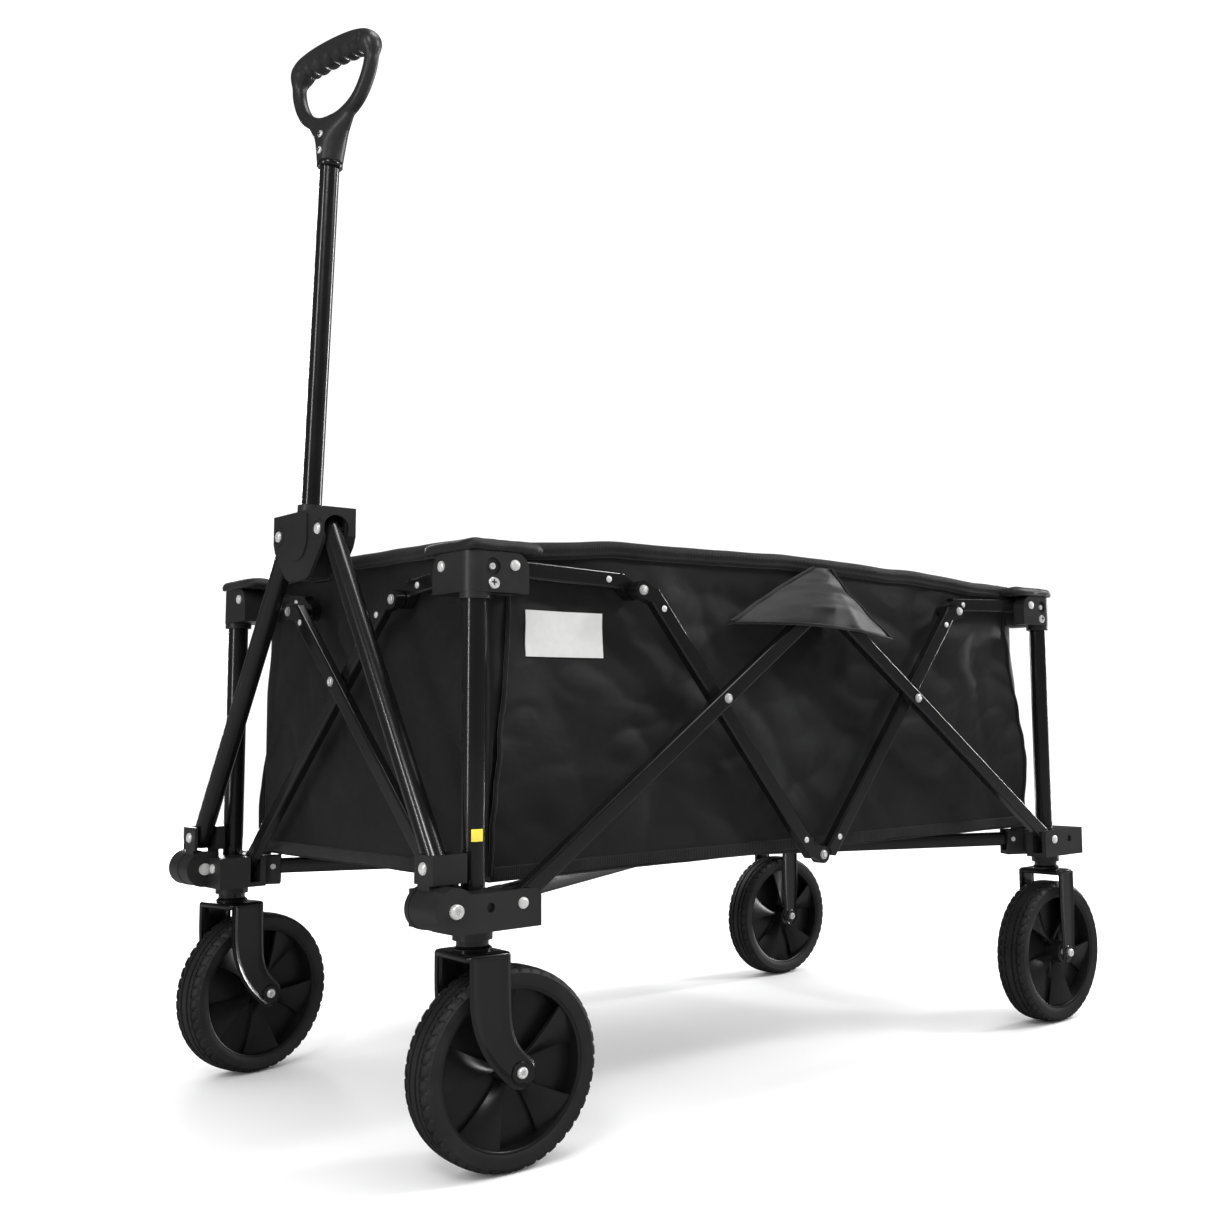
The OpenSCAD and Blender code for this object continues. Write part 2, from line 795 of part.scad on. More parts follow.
at_corner(RR) short_brace(RR);  // short_brace_rear_right
at_corner(FL) end_brace(FL);  // end_brace_front_left
at_corner(FR) end_brace(FR);  // end_brace_front_right
at_corner(RL) end_brace(RL);  // end_brace_rear_left
at_corner(RR) end_brace(RR);  // end_brace_rear_right
at_corner(FL) side_link();  // side_link_front_left
at_corner(FR) side_link();  // side_link_front_right
at_corner(RL) side_link();  // side_link_rear_left
at_corner(RR) side_link();  // side_link_rear_right
at_corner(FL) end_link();  // end_link_front_left
at_corner(FR) end_link();  // end_link_front_right
at_corner(RL) end_link();  // end_link_rear_left
at_corner(RR) end_link();  // end_link_rear_right
caster_at(FL, turn_left) fork(trail, 20.5, 12);  // fork_front_left
caster_at(FR, turn_right) fork(trail, 20.5, 12);  // fork_front_right
at_corner(RL) fork(0, 15, 11);  // fork_rear_left
at_corner(RR) fork(0, 15, 11);  // fork_rear_right
caster_at(FL, turn_left) on_axle(trail) rim_wheel(27);  // rim_front_left
caster_at(FR, turn_right) on_axle(trail) rim_wheel(58);  // rim_front_right
caster_at(RL, 0) on_axle(0) rim_wheel(-12);  // rim_rear_left
caster_at(RR, 0) on_axle(0) rim_wheel(20);  // rim_rear_right
caster_at(FL, turn_left) on_axle(trail) tyre_ring();  // tyre_front_left
caster_at(FR, turn_right) on_axle(trail) tyre_ring();  // tyre_front_right
at_corner(RL) on_axle(0) tyre_ring();  // tyre_rear_left
at_corner(RR) on_axle(0) tyre_ring();  // tyre_rear_right
knuckle(-1);  // knuckle_left
knuckle(1);  // knuckle_right
handle_leg(-1);  // handle_leg_left
handle_leg(1);  // handle_leg_right
yoke();
shaft();
grip();
grip_screws();
floor_struts(-1);  // floor_struts_left
floor_struts(1);  // floor_struts_right
floor_board();
bag();
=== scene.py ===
"""Looks for the folding wagon with a pull handle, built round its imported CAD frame.

Lengths are in millimetres in the corners' own frames, where u runs inwards along the wagon's
length and v inwards along its width from a post's axis, and in metres once placed by at().
"""
import json
import math

import bmesh
import bpy
from mathutils import Matrix, Vector, noise


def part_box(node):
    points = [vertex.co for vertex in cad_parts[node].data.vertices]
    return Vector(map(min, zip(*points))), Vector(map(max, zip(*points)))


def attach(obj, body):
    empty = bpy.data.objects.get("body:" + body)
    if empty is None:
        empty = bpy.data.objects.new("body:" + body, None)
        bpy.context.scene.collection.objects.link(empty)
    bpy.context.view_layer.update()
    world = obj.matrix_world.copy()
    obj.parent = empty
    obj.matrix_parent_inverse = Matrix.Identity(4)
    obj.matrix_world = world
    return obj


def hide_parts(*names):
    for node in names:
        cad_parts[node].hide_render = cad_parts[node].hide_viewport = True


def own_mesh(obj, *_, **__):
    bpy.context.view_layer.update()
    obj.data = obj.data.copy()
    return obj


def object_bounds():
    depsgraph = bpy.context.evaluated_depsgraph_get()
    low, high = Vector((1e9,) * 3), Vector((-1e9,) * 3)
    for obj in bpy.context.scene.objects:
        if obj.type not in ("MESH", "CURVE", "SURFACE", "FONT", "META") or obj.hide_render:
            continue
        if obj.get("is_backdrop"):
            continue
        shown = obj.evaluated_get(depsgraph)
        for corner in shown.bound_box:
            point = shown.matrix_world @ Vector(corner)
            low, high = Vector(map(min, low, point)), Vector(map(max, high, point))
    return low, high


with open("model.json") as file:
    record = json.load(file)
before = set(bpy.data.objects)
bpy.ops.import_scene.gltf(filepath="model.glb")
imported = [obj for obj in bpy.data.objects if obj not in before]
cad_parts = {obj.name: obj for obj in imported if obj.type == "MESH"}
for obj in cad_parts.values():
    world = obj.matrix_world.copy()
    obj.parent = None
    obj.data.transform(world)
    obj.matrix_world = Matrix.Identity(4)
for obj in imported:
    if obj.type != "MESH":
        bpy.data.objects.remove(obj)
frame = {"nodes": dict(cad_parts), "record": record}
cad_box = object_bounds()

MM = 0.001
CORNERS = {"front_left": (1, 1), "front_right": (1, -1), "rear_left": (-1, 1), "rear_right": (-1, -1)}


def centre(node):
    low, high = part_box(node)
    return (Vector(low) + Vector(high)) / 2


POST = {corner: centre("post_" + corner) for corner in CORNERS}
MIDDLE = sum(POST.values(), Vector()) / 4
HALF_X = (POST["rear_left"].x - MIDDLE.x) / MM
HALF_Y = (POST["rear_right"].y - MIDDLE.y) / MM

# Driving dimensions of the linkage, as in the CAD model
LOW_PIVOT = 238
HIGH_PIVOT = 545
PIVOT_IN = 30
LINK_IN = 34
SIDE_ANGLE = math.radians(35)
SHORT_ANGLE = math.radians(50.5)
END_ANGLE = math.radians(42.4)
SIDE_CROSS = 319
SHORT_HIGH = 149.2
END_HIGH = 128.9
CAP_OFF = 9.5
LONG_FACE = -29.5
SHORT_FACE = -15.5
SIDE_LINK_FACE = 2
END_LEFT_FACE = -12
END_RIGHT_FACE = 0
END_LINK_FACE = 12

# The frame folds its length and width down to these shares
KEEP_X = 0.27
KEEP_Y = 0.29


def at(corner, u, v, z):
    """A point of a corner's own frame, in metres."""
    along, across = CORNERS[corner]
    post = POST[corner]
    return Vector((post.x + along * u * MM, post.y + across * v * MM, z * MM))


def from_middle(x, y, z):
    """A point counted in millimetres from the middle between the posts, in metres."""
    return Vector((MIDDLE.x + x * MM, MIDDLE.y + y * MM, z * MM))


def smooth(t):
    t = min(max(t, 0.0), 1.0)
    return t * t * (3 - 2 * t)


def mix(a, b, t):
    return a + (b - a) * t


# ---- Mesh making ----

class Shape:
    """Vertices and faces gathered from several closed solids."""

    def __init__(self):
        self.verts = []
        self.faces = []

    def add(self, solid, matrix=None):
        verts, faces = solid
        base = len(self.verts)
        self.verts += [matrix @ Vector(v) if matrix else Vector(v) for v in verts]
        self.faces += [tuple(base + i for i in face) for face in faces]
        return self

    def __iter__(self):
        """Lets a Shape be unpacked to its verts and faces."""
        return iter((self.verts, self.faces))


def make(name, solid, material, body=None, sharp=40):
    """A mesh object from a Shape or (verts, faces), smooth but for edges sharper than sharp."""
    verts, faces = solid
    mesh = bpy.data.meshes.new(name)
    mesh.from_pydata([tuple(v) for v in verts], [], faces)
    work = bmesh.new()
    work.from_mesh(mesh)
    bmesh.ops.recalc_face_normals(work, faces=work.faces)
    work.to_mesh(mesh)
    work.free()
    for polygon in mesh.polygons:
        polygon.use_smooth = True
    mesh.set_sharp_from_angle(angle=math.radians(sharp))
    mesh.materials.append(material)
    obj = bpy.data.objects.new(name, mesh)
    bpy.context.scene.collection.objects.link(obj)
    if body:
        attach(obj, body)
    return obj


def placed(solid, matrix):
    verts, faces = solid
    return [matrix @ Vector(v) for v in verts], faces


def ring(radius, sides=12, squeeze=1.0):
    turn = 2 * math.pi / sides
    return [(radius * math.cos(i * turn), radius * squeeze * math.sin(i * turn)) for i in range(sides)]


def rounded(width, height, radius, steps=4):
    """Outline of a rounded rectangle."""
    points = []
    for quarter, (x, y) in enumerate([(1, 1), (-1, 1), (-1, -1), (1, -1)]):
        for i in range(steps + 1):
            a = math.pi / 2 * (quarter + i / steps)
            points.append((x * (width / 2 - radius) + radius * math.cos(a),
                           y * (height / 2 - radius) + radius * math.sin(a)))
    return points


def bands(count, size, closed):
    """Faces between count successive outlines of size points, with capped ends unless closed."""
    faces = []
    for i in range(count if closed else count - 1):
        j = (i + 1) % count
        for k in range(size):
            m = (k + 1) % size
            faces.append((i * size + k, i * size + m, j * size + m, j * size + k))
    if not closed:
        faces.append(tuple(range(size)))
        faces.append(tuple(range((count - 1) * size, count * size)))
    return faces


def sweep(path, section, up=(0, 0, 1), closed=False, unit=MM):
    """A closed section carried along a path. section is its points, in units of unit, or a
    function of the share of the path; their first coordinate is sideways, the second along up."""
    up = Vector(up)
    count = len(path)
    verts = []
    for i, point in enumerate(path):
        before = path[i - 1] if i or closed else point
        after = path[(i + 1) % count] if i < count - 1 or closed else point
        tangent = (after - before).normalized()
        side = tangent.cross(up).normalized()
        rise = side.cross(tangent)
        points = section(i / (count - 1)) if callable(section) else section
        verts += [point + side * (a * unit) + rise * (b * unit) for a, b in points]
    return verts, bands(count, len(points), closed)


def revolve(profile, steps, wobble=None):
    """A closed profile of (radius, along) points turned about Y, in the profile's own units."""
    verts = []
    for i in range(steps):
        a = 2 * math.pi * i / steps
        for k, (radius, along) in enumerate(profile):
            r = radius + (wobble(i, k) if wobble else 0)
            verts.append(Vector((r * math.cos(a), along, r * math.sin(a))))
    return verts, bands(steps, len(profile), True)


def stack(rings):
    """Closed outlines of the same count joined one above another, with both ends capped.
    Each is its points and a height."""
    verts = [Vector((x, y, z)) for outline, z in rings for x, y in outline]
    return verts, bands(len(rings), len(rings[0][0]), False)


def turned(profile, steps=40):
    """A closed profile of (radius, height) points turned about Z."""
    verts, faces = revolve(profile, steps)
    return [Vector((x, z, y)) for x, y, z in verts], faces


def grid_normals(grid):
    rows, cols = len(grid), len(grid[0])
    normals = []
    for i in range(rows):
        line = []
        for j in range(cols):
            along = grid[min(i + 1, rows - 1)][j] - grid[max(i - 1, 0)][j]
            across = grid[i][min(j + 1, cols - 1)] - grid[i][max(j - 1, 0)]
            line.append(along.cross(across).normalized())
        normals.append(line)
    return normals


def thick(grid, front, back):
    """A grid of points made a closed shell, front and back metres each side of it. Either
    may be a function of the row and column."""
    rows, cols = len(grid), len(grid[0])
    normals = grid_normals(grid)
    verts = []
    for depth, sign in ((front, 1), (back, -1)):
        for i in range(rows):
            for j in range(cols):
                d = depth(i, j) if callable(depth) else depth
                verts.append(grid[i][j] + normals[i][j] * d * sign)
    half = rows * cols
    faces = []
    for i in range(rows - 1):
        for j in range(cols - 1):
            a = i * cols + j
            faces.append((a, a + 1, a + cols + 1, a + cols))
            faces.append((half + a, half + a + cols, half + a + cols + 1, half + a + 1))
    edge = [i * cols for i in range(rows)] + [(rows - 1) * cols + j for j in range(1, cols)]
    edge += [i * cols + cols - 1 for i in range(rows - 2, -1, -1)] + list(range(cols - 2, 0, -1))
    for k, a in enumerate(edge):
        b = edge[(k + 1) % len(edge)]
        faces.append((a, half + a, half + b, b))
    return verts, faces


# Outlines of heads, as shares of their radius and height
ROUND_HEAD = [(0.01, 1), (0.45, 0.93), (0.8, 0.65), (0.97, 0.25), (1, -0.15), (0.01, -0.15)]
SOCKET_HEAD = [(0.01, 0.3), (0.42, 0.3), (0.5, 1), (0.84, 1), (1, 0.55), (1, -0.15), (0.01, -0.15)]


def facing_matrix(point, facing):
    """From millimetres about a point, with Y along facing, to the wagon."""
    turn = Vector((0, 1, 0)).rotation_difference(Vector(facing)).to_matrix().to_4x4()
    return Matrix.Translation(point) @ turn @ Matrix.Scale(MM, 4)


def dome(point, facing, radius=5.3, height=2.6, outline=ROUND_HEAD):
    """A head on a point, facing a direction. Sizes in millimetres."""
    solid = revolve([(r * radius, y * height) for r, y in outline], 20)
    return placed(solid, facing_matrix(point, facing))


def cross(point, facing, reach, width, height):
    """Painted shade of a screw head's cross recess: two dark bars that lie in its top, where the recess would
    be dark from shade.
    """
    shape = Shape()
    for along, across in ((reach, width), (width, reach)):
        outline = [(along, across), (-along, across), (-along, -across), (along, -across)]
        verts, faces = stack([(outline, height - 0.6), (outline, height + 0.12)])
        shape.add(([Vector((x, z, y)) for x, y, z in verts], faces), facing_matrix(point, facing))
    return shape


# ---- Materials ----

class Surface:
    """A principled material with procedural colour, roughness and relief."""

    def __init__(self, name, colour, roughness, metallic=0.0, **sockets):
        self.material = bpy.data.materials.new(name)
        self.material.use_nodes = True
        self.tree = self.material.node_tree
        self.shader = self.tree.nodes["Principled BSDF"]
        self.shader.inputs["Base Color"].default_value = (*colour, 1)
        self.shader.inputs["Roughness"].default_value = roughness
        self.shader.inputs["Metallic"].default_value = metallic
        for socket, value in sockets.items():
            title = socket.replace("_", " ").title().replace("Ior", "IOR")
            self.shader.inputs[title].default_value = value
        self.material.diffuse_color = (*colour, 1)
        self.place = self.tree.nodes.new("ShaderNodeTexCoord").outputs["Object"]
        self.relief = None

    def noise(self, scale, detail=2.0, stretch=None):
        node = self.tree.nodes.new("ShaderNodeTexNoise")
        node.inputs["Scale"].default_value = scale
        node.inputs["Detail"].default_value = detail
        source = self.place
        if stretch:
            mapping = self.tree.nodes.new("ShaderNodeMapping")
            mapping.inputs["Scale"].default_value = stretch
            self.tree.links.new(source, mapping.inputs["Vector"])
            source = mapping.outputs["Vector"]
        self.tree.links.new(source, node.inputs["Vector"])
        return node.outputs["Fac"]

    def wave(self, axis, pitch, profile="SIN"):
        """Bands across an axis, pitch metres apart."""
        node = self.tree.nodes.new("ShaderNodeTexWave")
        node.wave_type = "BANDS"
        node.bands_direction = axis
        node.wave_profile = profile
        node.inputs["Scale"].default_value = math.pi / (10 * pitch)
        node.inputs["Distortion"].default_value = 0
        self.tree.links.new(self.place, node.inputs["Vector"])
        return node.outputs["Fac"]

    def sum(self, operation, a, b):
        node = self.tree.nodes.new("ShaderNodeMath")
        node.operation = operation
        for socket, value in zip(node.inputs, (a, b)):
            if isinstance(value, (int, float)):
                socket.default_value = value
            else:
                self.tree.links.new(value, socket)
        return node.outputs[0]

    def ramp(self, factor, low, high, start=0.3, end=0.7):
        """Colours from low to high over a factor, into the base colour."""
        node = self.tree.nodes.new("ShaderNodeValToRGB")
        node.color_ramp.elements[0].position = start
        node.color_ramp.elements[1].position = end
        node.color_ramp.elements[0].color = (*low, 1)
        node.color_ramp.elements[1].color = (*high, 1)
        self.tree.links.new(factor, node.inputs["Fac"])
        self.tree.links.new(node.outputs["Color"], self.shader.inputs["Base Color"])
        return self

    def rough(self, factor, low, high):
        node = self.tree.nodes.new("ShaderNodeMapRange")
        node.inputs["To Min"].default_value = low
        node.inputs["To Max"].default_value = high
        self.tree.links.new(factor, node.inputs["Value"])
        self.tree.links.new(node.outputs["Result"], self.shader.inputs["Roughness"])
        return self

    def bump(self, height, distance, strength=1.0):
        """Relief on top of what there is, distance metres high."""
        node = self.tree.nodes.new("ShaderNodeBump")
        node.inputs["Distance"].default_value = distance
        node.inputs["Strength"].default_value = strength
        self.tree.links.new(height, node.inputs["Height"])
        if self.relief:
            self.tree.links.new(self.relief, node.inputs["Normal"])
        self.relief = node.outputs["Normal"]
        self.tree.links.new(self.relief, self.shader.inputs["Normal"])
        return self


def powder_coat():
    s = Surface("powder_coat", (0.004, 0.004, 0.0044), 0.22, coat_weight=0.5, coat_roughness=0.07)
    s.ramp(s.noise(9, 4), (0.003, 0.003, 0.0034), (0.005, 0.005, 0.0054))
    s.rough(s.noise(60, 4), 0.18, 0.3)
    s.bump(s.noise(320, 2), 0.00012, 0.5)
    return s.bump(s.noise(1500, 2), 0.00004, 0.4).material


def moulded_plastic(name, tone, rough_low, rough_high, grain=0.00005):
    s = Surface(name, (tone, tone, tone * 1.04), rough_high)
    s.ramp(s.noise(14, 5), (tone * 0.82,) * 3, (tone * 1.2,) * 3)
    s.rough(s.noise(45, 5), rough_low, rough_high)
    s.bump(s.noise(90, 3), 0.00025, 0.25)
    return s.bump(s.noise(2600, 2), grain, 0.6).material


def rubber():
    s = Surface("tyre_rubber", (0.009, 0.009, 0.0095), 0.6)
    s.ramp(s.noise(30, 6), (0.007, 0.007, 0.0075), (0.013, 0.013, 0.0125), 0.35, 0.75)
    s.rough(s.noise(70, 4), 0.48, 0.68)
    return s.bump(s.noise(1100, 3), 0.00012, 0.5).material


def zinc():
    s = Surface("zinc", (0.72, 0.72, 0.71), 0.3, metallic=0.55)
    s.ramp(s.noise(160, 4), (0.62, 0.62, 0.61), (0.8, 0.8, 0.79))
    s.rough(s.noise(240, 4), 0.22, 0.4)
    return s.bump(s.noise(900, 2), 0.00004, 0.4).material


def cloth(name, across, along, tone=0.006, pitch=0.0011, depth=0.0002):
    """Plain woven polyester, its threads along two axes of the object."""
    s = Surface(name, (tone, tone, tone), 0.5, sheen_weight=0.04, sheen_roughness=0.4,
                specular_ior_level=0.34)
    s.ramp(s.noise(11, 5), (tone * 0.8,) * 3, (tone * 1.35, tone * 1.35, tone * 1.4))
    s.rough(s.noise(35, 4), 0.42, 0.56)
    over = s.sum("MULTIPLY", s.wave(across, pitch), s.wave(along, pitch))
    s.bump(s.noise(24, 3), 0.0024, 0.4)
    return s.bump(over, depth, 0.7).material


def webbing(name, axis, tone=0.008):
    """Ribbed binding tape, its ribs across an axis."""
    s = Surface(name, (tone, tone, tone), 0.66, sheen_weight=0.12, sheen_roughness=0.4,
                specular_ior_level=0.16)
    s.ramp(s.noise(22, 4), (tone * 0.8,) * 3, (tone * 1.4,) * 3)
    s.bump(s.noise(60, 3), 0.0009, 0.35)
    return s.bump(s.wave(axis, 0.0022), 0.0003, 0.8).material


def plain(name, colour, roughness, spread=0.15):
    s = Surface(name, colour, roughness)
    s.ramp(s.noise(120, 3), tuple(c * (1 - spread) for c in colour),
           tuple(c * (1 + spread) for c in colour))
    return s.bump(s.noise(800, 2), 0.00006, 0.4).material


COAT = powder_coat()
BLACK = moulded_plastic("black_plastic", 0.014, 0.3, 0.46)
RIM = moulded_plastic("rim_plastic", 0.006, 0.26, 0.4, 0.00003)
TYRE = rubber()
ZINC = zinc()
SIDE_CLOTH = cloth("side_fabric", "X", "Z")
END_CLOTH = cloth("end_fabric", "Y", "Z")
FLOOR_CLOTH = cloth("floor_fabric", "X", "Y", tone=0.009)
SIDE_TAPE = webbing("side_binding", "X")
END_TAPE = webbing("end_binding", "Y")
YELLOW = plain("yellow_tag", (0.8, 0.62, 0.05), 0.45)
PALE = plain("pale_label", (0.5, 0.5, 0.49), 0.5, 0.04)

SLOT_LOOKS = {"powder_coat": COAT, "zinc": ZINC, "black_plastic": BLACK, "rim_plastic": RIM,
              "tyre": TYRE, "woven_fabric": SIDE_CLOTH, "board": FLOOR_CLOTH}
EDGE_WIDTHS = {"yoke": 2, "top": 1.6, "bottom": 1.4, "knuckle": 1.4}
for part in frame["record"]["subparts"]:
    node = frame["nodes"][part["node"]]
    node.data.materials.clear()
    node.data.materials.append(SLOT_LOOKS[part["material_slot"]])
    if part["material_slot"] in ("black_plastic", "powder_coat"):
        edge = node.modifiers.new("edge", "BEVEL")
        edge.width = EDGE_WIDTHS.get(part["node"].split("_")[0], 0.9) * MM
        edge.segments = 2
        edge.angle_limit = math.radians(50)
        edge.harden_normals = True


# ---- Rivets and screws ----

def from_joint(corner, u, z, face, end=False):
    """A point on a face, which lies face inwards from the posts: of the side, or of the end."""
    return at(corner, face, u, z) if end else at(corner, u, face, z)


def outward(corner, end=False):
    along, across = CORNERS[corner]
    return (-along, 0, 0) if end else (0, -across, 0)


def rivet(name, corner, u, z, face, body, end=False, radius=5.3, height=2.6, outline=ROUND_HEAD):
    solid = dome(from_joint(corner, u, z, face, end), outward(corner, end), radius, height, outline)
    return make(name, solid, ZINC, body)


def screw(name, corner, u, z, face, body):
    """A low round head with a cross recess, on a side; the recess is not cut but painted as shade, with dark
    bars on the head's top.
    """
    rivet(name, corner, u, z, face, body, radius=4.8, height=1.9)
    solid = cross(from_joint(corner, u, z, face), outward(corner), 2.8, 0.65, 1.95)
    # Painted shade: dark bars stand for the shade in the cross recess.
    make(name + "_cross", solid, BLACK, body)


def on_bar(start, angle, along, off=0.0):
    """A point (u, z) of a bar, along it from its start and off its middle line."""
    c, s = math.cos(angle), math.sin(angle)
    return start[0] + along * c - off * s, start[1] + along * s + off * c


CROSS = on_bar((PIVOT_IN, LOW_PIVOT), SIDE_ANGLE, SIDE_CROSS)
LONG_REACH = (HALF_X - PIVOT_IN - CAP_OFF * math.sin(SIDE_ANGLE)) / math.cos(SIDE_ANGLE)
SIDE_TOP = on_bar((PIVOT_IN, LOW_PIVOT), SIDE_ANGLE, LONG_REACH, -CAP_OFF)
SHORT_LOW = (HALF_X - CROSS[0] - CAP_OFF * math.sin(SHORT_ANGLE)) / math.cos(SHORT_ANGLE)
SIDE_FOOT = on_bar(CROSS, -SHORT_ANGLE, SHORT_LOW, CAP_OFF)
SIDE_JOINT = on_bar(CROSS, -SHORT_ANGLE, -SHORT_HIGH, -CAP_OFF)
END_CROSS = (HALF_Y - PIVOT_IN) / math.cos(END_ANGLE)
END_REACH = END_CROSS + END_HIGH
END_MEET = on_bar((PIVOT_IN, LOW_PIVOT), END_ANGLE, END_CROSS)
END_TOP = on_bar((PIVOT_IN, LOW_PIVOT), END_ANGLE, END_REACH, -CAP_OFF)
END_JOINT = (2 * HALF_Y - END_TOP[0], END_TOP[1])


def link_line(joint):
    """The start and angle of a link from its bracket's pin down to a brace's joint."""
    across, down = joint[0] - LINK_IN, joint[1] - HIGH_PIVOT
    length = math.sqrt(across ** 2 + down ** 2 - CAP_OFF ** 2)
    return (LINK_IN, HIGH_PIVOT), math.atan2(down, across) + math.atan2(CAP_OFF, length), length


def other_side(corner):
    return corner.replace("left", "x").replace("right", "left").replace("x", "right")


def bar_rivets():
    small = {"radius": 3.4, "height": 1.5}
    for corner in CORNERS:
        left = corner.endswith("left")
        end_face = END_LEFT_FACE if left else END_RIGHT_FACE
        rivet("rivet_low_" + corner, corner, PIVOT_IN, LOW_PIVOT, -36, "corner_" + corner)
        rivet("rivet_high_" + corner, corner, LINK_IN, HIGH_PIVOT, -15, "corner_" + corner)
        rivet("rivet_end_low_" + corner, corner, PIVOT_IN, LOW_PIVOT, -36, "corner_" + corner, True)
        rivet("rivet_end_high_" + corner, corner, LINK_IN, HIGH_PIVOT, -15, "corner_" + corner, True)
        rivet("screw_dimple_" + corner, corner, 10, 543, -12.7, "corner_" + corner, radius=3, height=1.2,
              outline=SOCKET_HEAD)
        screw("screw_low_" + corner, corner, 10, 528, -14.9, "corner_" + corner)
        rivet("rivet_cross_" + corner, corner, *CROSS, LONG_FACE, "long_brace_" + corner)
        rivet("rivet_joint_" + corner, corner, *SIDE_JOINT, SHORT_FACE, "short_brace_" + corner)
        rivet("rivet_end_top_" + corner, other_side(corner), *END_JOINT, end_face,
              "end_brace_" + corner, True)
        if left:
            rivet("rivet_end_cross_" + corner, corner, *END_MEET, END_LEFT_FACE,
                  "end_brace_" + corner, True)
        spots = [("cap_long_", (PIVOT_IN, LOW_PIVOT), SIDE_ANGLE, LONG_REACH - 31, LONG_FACE, "long_brace_"),
                 ("cap_short_low_", CROSS, -SHORT_ANGLE, SHORT_LOW - 31, SHORT_FACE, "short_brace_"),
                 ("cap_short_high_", CROSS, -SHORT_ANGLE, 31 - SHORT_HIGH, SHORT_FACE, "short_brace_")]
        line = link_line(SIDE_JOINT)
        spots.append(("cap_link_", line[0], line[1], line[2] - 31, SIDE_LINK_FACE, "side_link_"))
        for name, start, angle, along, face, body in spots:
            rivet(name + corner, corner, *on_bar(start, angle, along), face, body + corner, **small)
        rivet("cap_end_" + corner, corner, *on_bar((PIVOT_IN, LOW_PIVOT), END_ANGLE, END_REACH - 31),
              end_face, "end_brace_" + corner, True, **small)
        line = link_line(END_JOINT)
        rivet("cap_end_link_" + corner, corner, *on_bar(line[0], line[1], line[2] - 31),
              END_LINK_FACE, "end_link_" + corner, True, **small)
    for side in ("left", "right"):
        front = "front_" + side
        rivet("rivet_middle_top_" + side, front, *SIDE_TOP, LONG_FACE, "long_brace_" + front)
        rivet("rivet_middle_low_" + side, front, *SIDE_FOOT, SHORT_FACE, "short_brace_" + front)
        rivet("tilt_bolt_" + side, front, -40, 237, -38.5, "corner_" + front, radius=6.2, height=2.2,
              outline=SOCKET_HEAD)


bar_rivets()


# ---- Wheels and forks ----

WHEEL_R = 90
AXLE_Z = WHEEL_R
TRAIL = 32
CASTER_TURN = {"front_left": -3, "front_right": 11, "rear_left": 0, "rear_right": 0}
FAN_PHASE = {"front_left": 27, "front_right": 58, "rear_left": -12, "rear_right": 20}
TREAD_STEPS = 360
BLOCK_STEPS = 8
# Radii of the floors of the tread's grooves
OUTER_GROOVE = 87.2
INNER_GROOVE = 87.3


def caster_matrix(corner):
    """From a caster's own millimetres, with X backwards, to the wagon."""
    turn = Matrix.Rotation(math.radians(CASTER_TURN[corner]), 4, "Z")
    post = POST[corner]
    return Matrix.Translation((post.x, post.y, 0)) @ turn @ Matrix.Scale(MM, 4)


def wheel_matrix(corner):
    back = TRAIL if corner.startswith("front") else 0
    return caster_matrix(corner) @ Matrix.Translation((back, 0, AXLE_Z))


def tyre_profile():
    half = [(72, 17), (72.6, 19.2), (75, 20.4), (79, 20.8), (84.2, 20.9), (84.8, 20.1), (86.8, 19.4),
            (88.2, 18), (89, 15.6), (89.4, 13.4), (OUTER_GROOVE, 12.8), (OUTER_GROOVE, 11.2),
            (89.6, 10.8), (89.8, 8.6), (89.9, 6.9), (INNER_GROOVE, 6.3), (INNER_GROOVE, 4.2),
            (89.9, 3.7), (90, 1.2)]
    return half + [(r, -y) for r, y in reversed(half)]


def tyre(corner):
    """A tyre with four dashed grooves and hooked blocks along its shoulders."""
    profile = tyre_profile()
    half_step = BLOCK_STEPS // 2

    def wobble(step, k):
        r, y = profile[k]
        lag = int(abs(y) / 3) + (half_step if y < 0 else 0)
        cut = (step + lag) % BLOCK_STEPS < 2
        if r > 86.5 and abs(y) > 13:
            return -1.7 if cut else 0
        if r == OUTER_GROOVE:
            return 1.9 if cut else 0
        if 8 < abs(y) < 11:
            return -1.2 if (step + lag) % BLOCK_STEPS == half_step else 0
        if r == INNER_GROOVE:
            return 1.8 if (step + lag) % half_step == 0 else 0
        return 0

    solid = placed(revolve(profile, TREAD_STEPS, wobble), wheel_matrix(corner))
    obj = make("tread_" + corner, solid, TYRE, "wheel_" + corner, 35)
    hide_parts("tyre_" + corner)


def fan_blade(middle, face):
    """A blade from the hub to the barrel, on one face of the wheel: its trailing edge lies deep
    and straight, and its leading edge comes forward in a curve."""
    grid = []
    for i in range(13):
        out = i / 12
        r = mix(12.5, 70.6, out)
        row = []
        for j in range(9):
            t = j / 8
            a = math.radians(middle + mix(-mix(9, 17, out), mix(7, 17, out ** 0.6), t))
            deep = mix(5, 15, t) + 1.8 * math.sin(math.pi * t)
            row.append(Vector((r * math.cos(a), face * deep * mix(0.85, 1, out), r * math.sin(a))))
        grid.append(row)
    return thick(grid, 1.6, 1.6)


